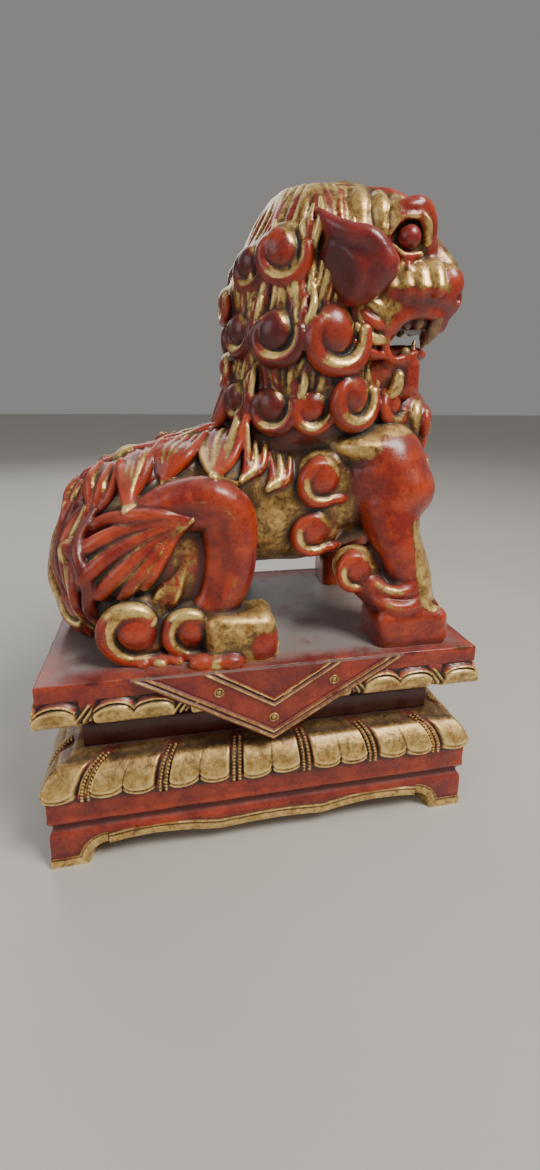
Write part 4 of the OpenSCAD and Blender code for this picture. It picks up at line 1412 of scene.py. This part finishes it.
def build_finishes():
    group = node_group("lacquer and gold", [
        ("Place", VECTOR, None), ("Gilt", FLOAT, 0.0), ("Ridge", FLOAT, 0.0), ("Hollow", FLOAT, 0.0),
        ("Red", COLOUR, LACQUER_RED), ("Bright red", COLOUR, BRIGHT_RED),
        # the grime input sets how dark the hollows go: partly grime, partly painted shade
        ("Raggedness", FLOAT, 1.0), ("Crests", FLOAT, 1.0), ("Grime", FLOAT, 0.97), ("Flecks", FLOAT, 0.35),
        ("Dust", FLOAT, 0.12),
    ], [("Colour", COLOUR), ("Roughness", FLOAT), ("Metallic", FLOAT), ("Height", FLOAT)], lacquer_and_gold)
    return {
        "carving": lacquered("lacquered and gilded carving", group),
        # the mane and its curls: red darkened as painted shade
        "mane": lacquered("mane carving darkened as painted shade", group, Red=SHADED_MANE_RED, Bright_red=SHADED_MANE_BRIGHT, Grime=1.0),
        "maroon": lacquered("maroon lacquer", group, Red=MAROON, Bright_red=MAROON_BRIGHT),
        "board": lacquered("red lacquered board", group, Dust=0.6, Grime=0.8, Flecks=0.15),
        "slab": lacquered("dusty lacquered slab", group, Dust=settled_dust, Grime=0.8, Flecks=0.1),
        # the waist boards: red darkened as painted shade
        "waist": lacquered("board lacquer darkened as painted shade", group, Red=SHADED_WAIST_RED, Bright_red=SHADED_WAIST_BRIGHT, Dust=0.7),
        "moulding": lacquered("gilded moulding", group, Dust=0.18, Raggedness=0.7, Crests=0.3, Flecks=0.2),
        "tooth": lacquered("brown gilt tooth", group, Red=TOOTH_BROWN, Bright_red=TOOTH_BRIGHT),
        "wood": bare("unfinished wood", WOOD_BROWNS, (0.75, 0.6), 0.0, lambda nodes, place: nodes.noise(
            nodes.add("ShaderNodeMapping", Vector=place, Scale=(8, 60, 60)), 4, 6, 0.6, 1.5)),
        "steel": bare("plated steel", STEEL_GREYS, (0.28, 0.42), 1.0,
                      lambda nodes, place: nodes.noise(place, 900, 3)),
    }


def settled_dust(nodes, place):
    """How thickly dust lies on the slab: most in the middle, where the lion shelters it from a cloth."""
    at = nodes.add("ShaderNodeSeparateXYZ", Vector=place)
    from_end = nodes.math("SUBTRACT", SLAB_L / 2 * MM, nodes.math("ABSOLUTE", at.outputs[0]))
    from_side = nodes.math("SUBTRACT", SLAB_W / 2 * MM, nodes.math("ABSOLUTE", at.outputs[1]))
    inward = nodes.math("MINIMUM", from_end, from_side)
    drift = nodes.scaled(nodes.noise(place, 35, 4), 0.024, -0.012)
    return nodes.span(nodes.math("ADD", inward, drift), 0.002, 0.020, 0.15, 1.0)


def new_material(name):
    """A material, its nodes, its shader, and the place on the piece."""
    material = bpy.data.materials.new(name)
    material.use_nodes = True
    nodes = Nodes(material.node_tree)
    place = nodes.add("ShaderNodeTexCoord").outputs["Object"]
    return material, nodes, material.node_tree.nodes["Principled BSDF"], place


def bare(name, colours, roughness, metallic, pattern):
    """Wood or metal with no lacquer: its colour and roughness follow one grain."""
    material, nodes, shader, place = new_material(name)
    grain = pattern(nodes, place)
    nodes.feed(shader, "Base Color", nodes.ramp(grain, zip((0.3, 0.7), colours)))
    nodes.feed(shader, "Roughness", nodes.span(grain, 0.3, 0.7, *roughness))
    shader.inputs["Metallic"].default_value = metallic
    return material


def lacquered(name, group, **values):
    """Lacquer and gold, with this material's own values for the shared group."""
    material, nodes, shader, place = new_material(name)
    values = {k: v(nodes, place) if callable(v) else v for k, v in values.items()}
    layers = {layer.capitalize(): attribute(nodes, layer) for layer in LAYERS}
    aged = nodes.add("ShaderNodeGroup", {"node_tree": group}, Place=place, **layers, **values)
    for socket, output in (("Base Color", "Colour"), ("Roughness", "Roughness"), ("Metallic", "Metallic")):
        nodes.feed(shader, socket, aged.outputs[output])
    bump = nodes.add("ShaderNodeBump", Strength=0.5, Distance=0.0006, Height=aged.outputs["Height"])
    nodes.feed(shader, "Normal", bump)
    shader.inputs["Coat Weight"].default_value = 0.35
    shader.inputs["Coat Roughness"].default_value = 0.22
    return material


def attribute(nodes, name):
    return nodes.add("ShaderNodeAttribute", {"attribute_name": name}).outputs["Fac"]


# ------------------------------------------------------------------------------------- room and camera


def soft_light(name, place, size, watts, tint):
    lamp = bpy.data.lights.new(name, "AREA")
    lamp.size = size
    lamp.energy = watts
    lamp.color = tint
    made = bpy.data.objects.new(name, lamp)
    made.location = place
    made.rotation_euler = (Vector(LAMPS_AIM) - Vector(place)).to_track_quat("-Z", "Y").to_euler()
    bpy.context.scene.collection.objects.link(made)


LAMPS_AIM = (0, 0, 0.2)
LAMPS = (("key", (0.55, -0.65, 1.15), 0.45, 17, (1.0, 0.95, 0.87)),
         ("fill", (-1.2, -0.6, 0.7), 0.9, 4, (0.92, 0.96, 1.0)),
         ("rear", (-0.3, 1.2, 1.1), 1.0, 8, (1, 1, 1)))
FLOOR_HALF = 6.0


def build_room():
    """A pale floor under a plain sky, lit by soft lamps."""
    world = bpy.data.worlds.new("studio")
    world.use_nodes = True
    sky = world.node_tree.nodes["Background"]
    sky.inputs["Color"].default_value = (0.72, 0.70, 0.67, 1)
    sky.inputs["Strength"].default_value = 0.34
    bpy.context.scene.world = world
    mesh = bpy.data.meshes.new("floor")
    corners = [(x * FLOOR_HALF, y * FLOOR_HALF, 0) for x, y in ((-1, -1), (1, -1), (1, 1), (-1, 1))]
    mesh.from_pydata(corners, [], [(0, 1, 2, 3)])
    floor = bpy.data.objects.new("floor", mesh)
    bpy.context.scene.collection.objects.link(floor)
    paint, nodes, shader, place = new_material("pale floor")
    nodes.feed(shader, "Base Color", nodes.ramp(nodes.noise(place, 3, 3), zip((0.3, 0.7), FLOOR_GREYS)))
    shader.inputs["Roughness"].default_value = 0.6
    mesh.materials.append(paint)
    for lamp in LAMPS:
        soft_light(*lamp)


CAMERA_AT = (-0.0574, -0.3354, 0.2722)
CAMERA_TURN, CAMERA_TIP, CAMERA_ROLL = 11.92, 15.35, 0.69    # degrees: rightwards, down, about its view
FOCAL_LENGTH, SENSOR_WIDTH, SHIFT_UP = 15.72, 36.0, -0.0453


def build_camera():
    """Stands off the lion's right flank, a little above and behind its middle."""
    lens = bpy.data.cameras.new("camera")
    lens.lens = FOCAL_LENGTH
    lens.sensor_width = SENSOR_WIDTH
    lens.shift_y = SHIFT_UP
    lens.clip_start = 0.01
    camera = bpy.data.objects.new("camera", lens)
    camera.location = CAMERA_AT
    turn, tip, roll = (math.radians(a) for a in (CAMERA_TURN, CAMERA_TIP, CAMERA_ROLL))
    camera.rotation_euler = (Matrix.Rotation(-turn, 4, "Z") @ Matrix.Rotation(math.pi / 2 - tip, 4, "X")
                             @ Matrix.Rotation(roll, 4, "Z")).to_euler()
    bpy.context.scene.collection.objects.link(camera)
    bpy.context.scene.camera = camera


# ------------------------------------------------------------------------------------- the work

build_camera()
build_room()
finish = build_finishes()


def add_piece(made, finish_name, node):
    """Gives a finished piece its material and its body, and hides the CAD node it stands for."""
    made.data.materials.clear()
    made.data.materials.append(finish[finish_name])
    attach(made, BODY)
    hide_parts(node)


def sway_body(points):
    """Carving is never quite regular: points move a little, but not where they stand on the slab."""
    return points + hand_shake(points) * np.clip((points[:, 2:] - SLAB_TOP) / 30, 0, 1)


def sway_head(points):
    return sway_body(place_head(points))


# each row: whose wood, whether it is a pair, its finish and its slot
BODY_PIECES = [
    ("torso", False, "carving", "gilt_over_red"), ("back_crest", False, "carving", "red_carving"),
    ("tail", False, "carving", "red_carving"), ("mane", False, "mane", "gilt_over_red"),
    ("chest_curls", False, "carving", "red_carving"), ("haunch", True, "carving", "gilt_over_red"),
    ("hind_paw", True, "carving", "gilt_over_red"), ("hock_curls", True, "carving", "red_carving"),
    ("foreleg", True, "carving", "red_carving"), ("elbow_curls", True, "carving", "red_carving"),
    ("mane_curls", True, "mane", "red_carving")]
HEAD_PIECES = [
    ("head", False, "carving", "gilt_over_red"), ("lower_jaw", False, "carving", "red_carving"),
    ("teeth", False, "tooth", "tooth_gilt"), ("ear", True, "maroon", "maroon_lacquer"),
    ("eye", True, "maroon", "maroon_lacquer")]


def make_lion():
    for block, rows, place in ((carve_body(), BODY_PIECES, sway_body),
                               (carve_head(), HEAD_PIECES, sway_head)):
        fields = block.fields()
        for owner, paired, finish_name, slot in rows:
            for side, label in SIDES if paired else ((0, ""),):
                node = owner + "_" + label if paired else owner
                made = lift_piece("carved_" + node, block, fields, owner, side, place)
                add_piece(made, finish_name, node)


STUDS = ((-32, 12), (36, 11), (0, 32))    # along a pendant, and down from the slab's top
STUD_PROUD = 0.3


def make_plinth():
    cords = cord_tree()
    for face in FACES:
        low, high = node_box("petal_moulding_" + face)
        made = carved_run("carved_petal_moulding_" + face, face, BASE_L, BASE_W,
                          moulding_profile(low[2], high[2], MOULDING_IN), MOULDING_THICK,
                          petal_relief(low[2]))
        add_piece(made, "moulding", "petal_moulding_" + face)
        beads = modified("divider_cords_" + face, cords, *cord_places(face), "moulding")
        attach(beads, BODY)
        low, high = node_box("frieze_" + face)
        made = carved_run("worked_frieze_" + face, face, BASE_L, BASE_W,
                          dense([[0, low[2]], [0, high[2]]], 0.5),
                          FRIEZE_THICK, frieze_relief(low[2] + COVE_UP), step=1.0)
        add_piece(made, "board", "frieze_" + face)
        low, high = node_box("border_" + face)
        made = carved_run("carved_border_" + face, face, SLAB_L, SLAB_W, border_profile(low[2], high[2]),
                          BORDER_THICK, border_relief(low[2]))
        add_piece(made, "moulding", "border_" + face)
        made = make_apron(face, half_of(face, BASE_L, BASE_W) - FOOT_REACH)
        add_piece(made, "moulding", "apron_" + face)
    for end, end_name in ((1, "head"), (-1, "tail")):
        for side, side_name in SIDES:
            node = "foot_" + end_name + "_" + side_name
            add_piece(make_foot(node, end, side), "moulding", node)
    for side, side_name in SIDES:
        node = "pendant_" + side_name
        add_piece(make_pendant(node, side), "board", node)
    for node, made in make_boards():
        add_piece(made, "slab" if node == "slab" else "waist",
                  node)
    face_y = SLAB_W / 2 + PENDANT_THICK + STUD_PROUD
    places = [(x, side * face_y, SLAB_TOP - depth) for side, _ in SIDES for x, depth in STUDS]
    add_piece(modified("ring_studs", stud_tree(), places, [], "moulding"), "moulding",
              "pendant_studs")


make_lion()
make_plinth()
for node, finish_name in (("glue_blocks", "wood"), ("paw_dowels", "wood"), ("plinth_screws", "steel"),
                          ("lower_deck", "board")):
    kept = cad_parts[node]
    kept.data.materials.clear()
    kept.data.materials.append(finish[finish_name])
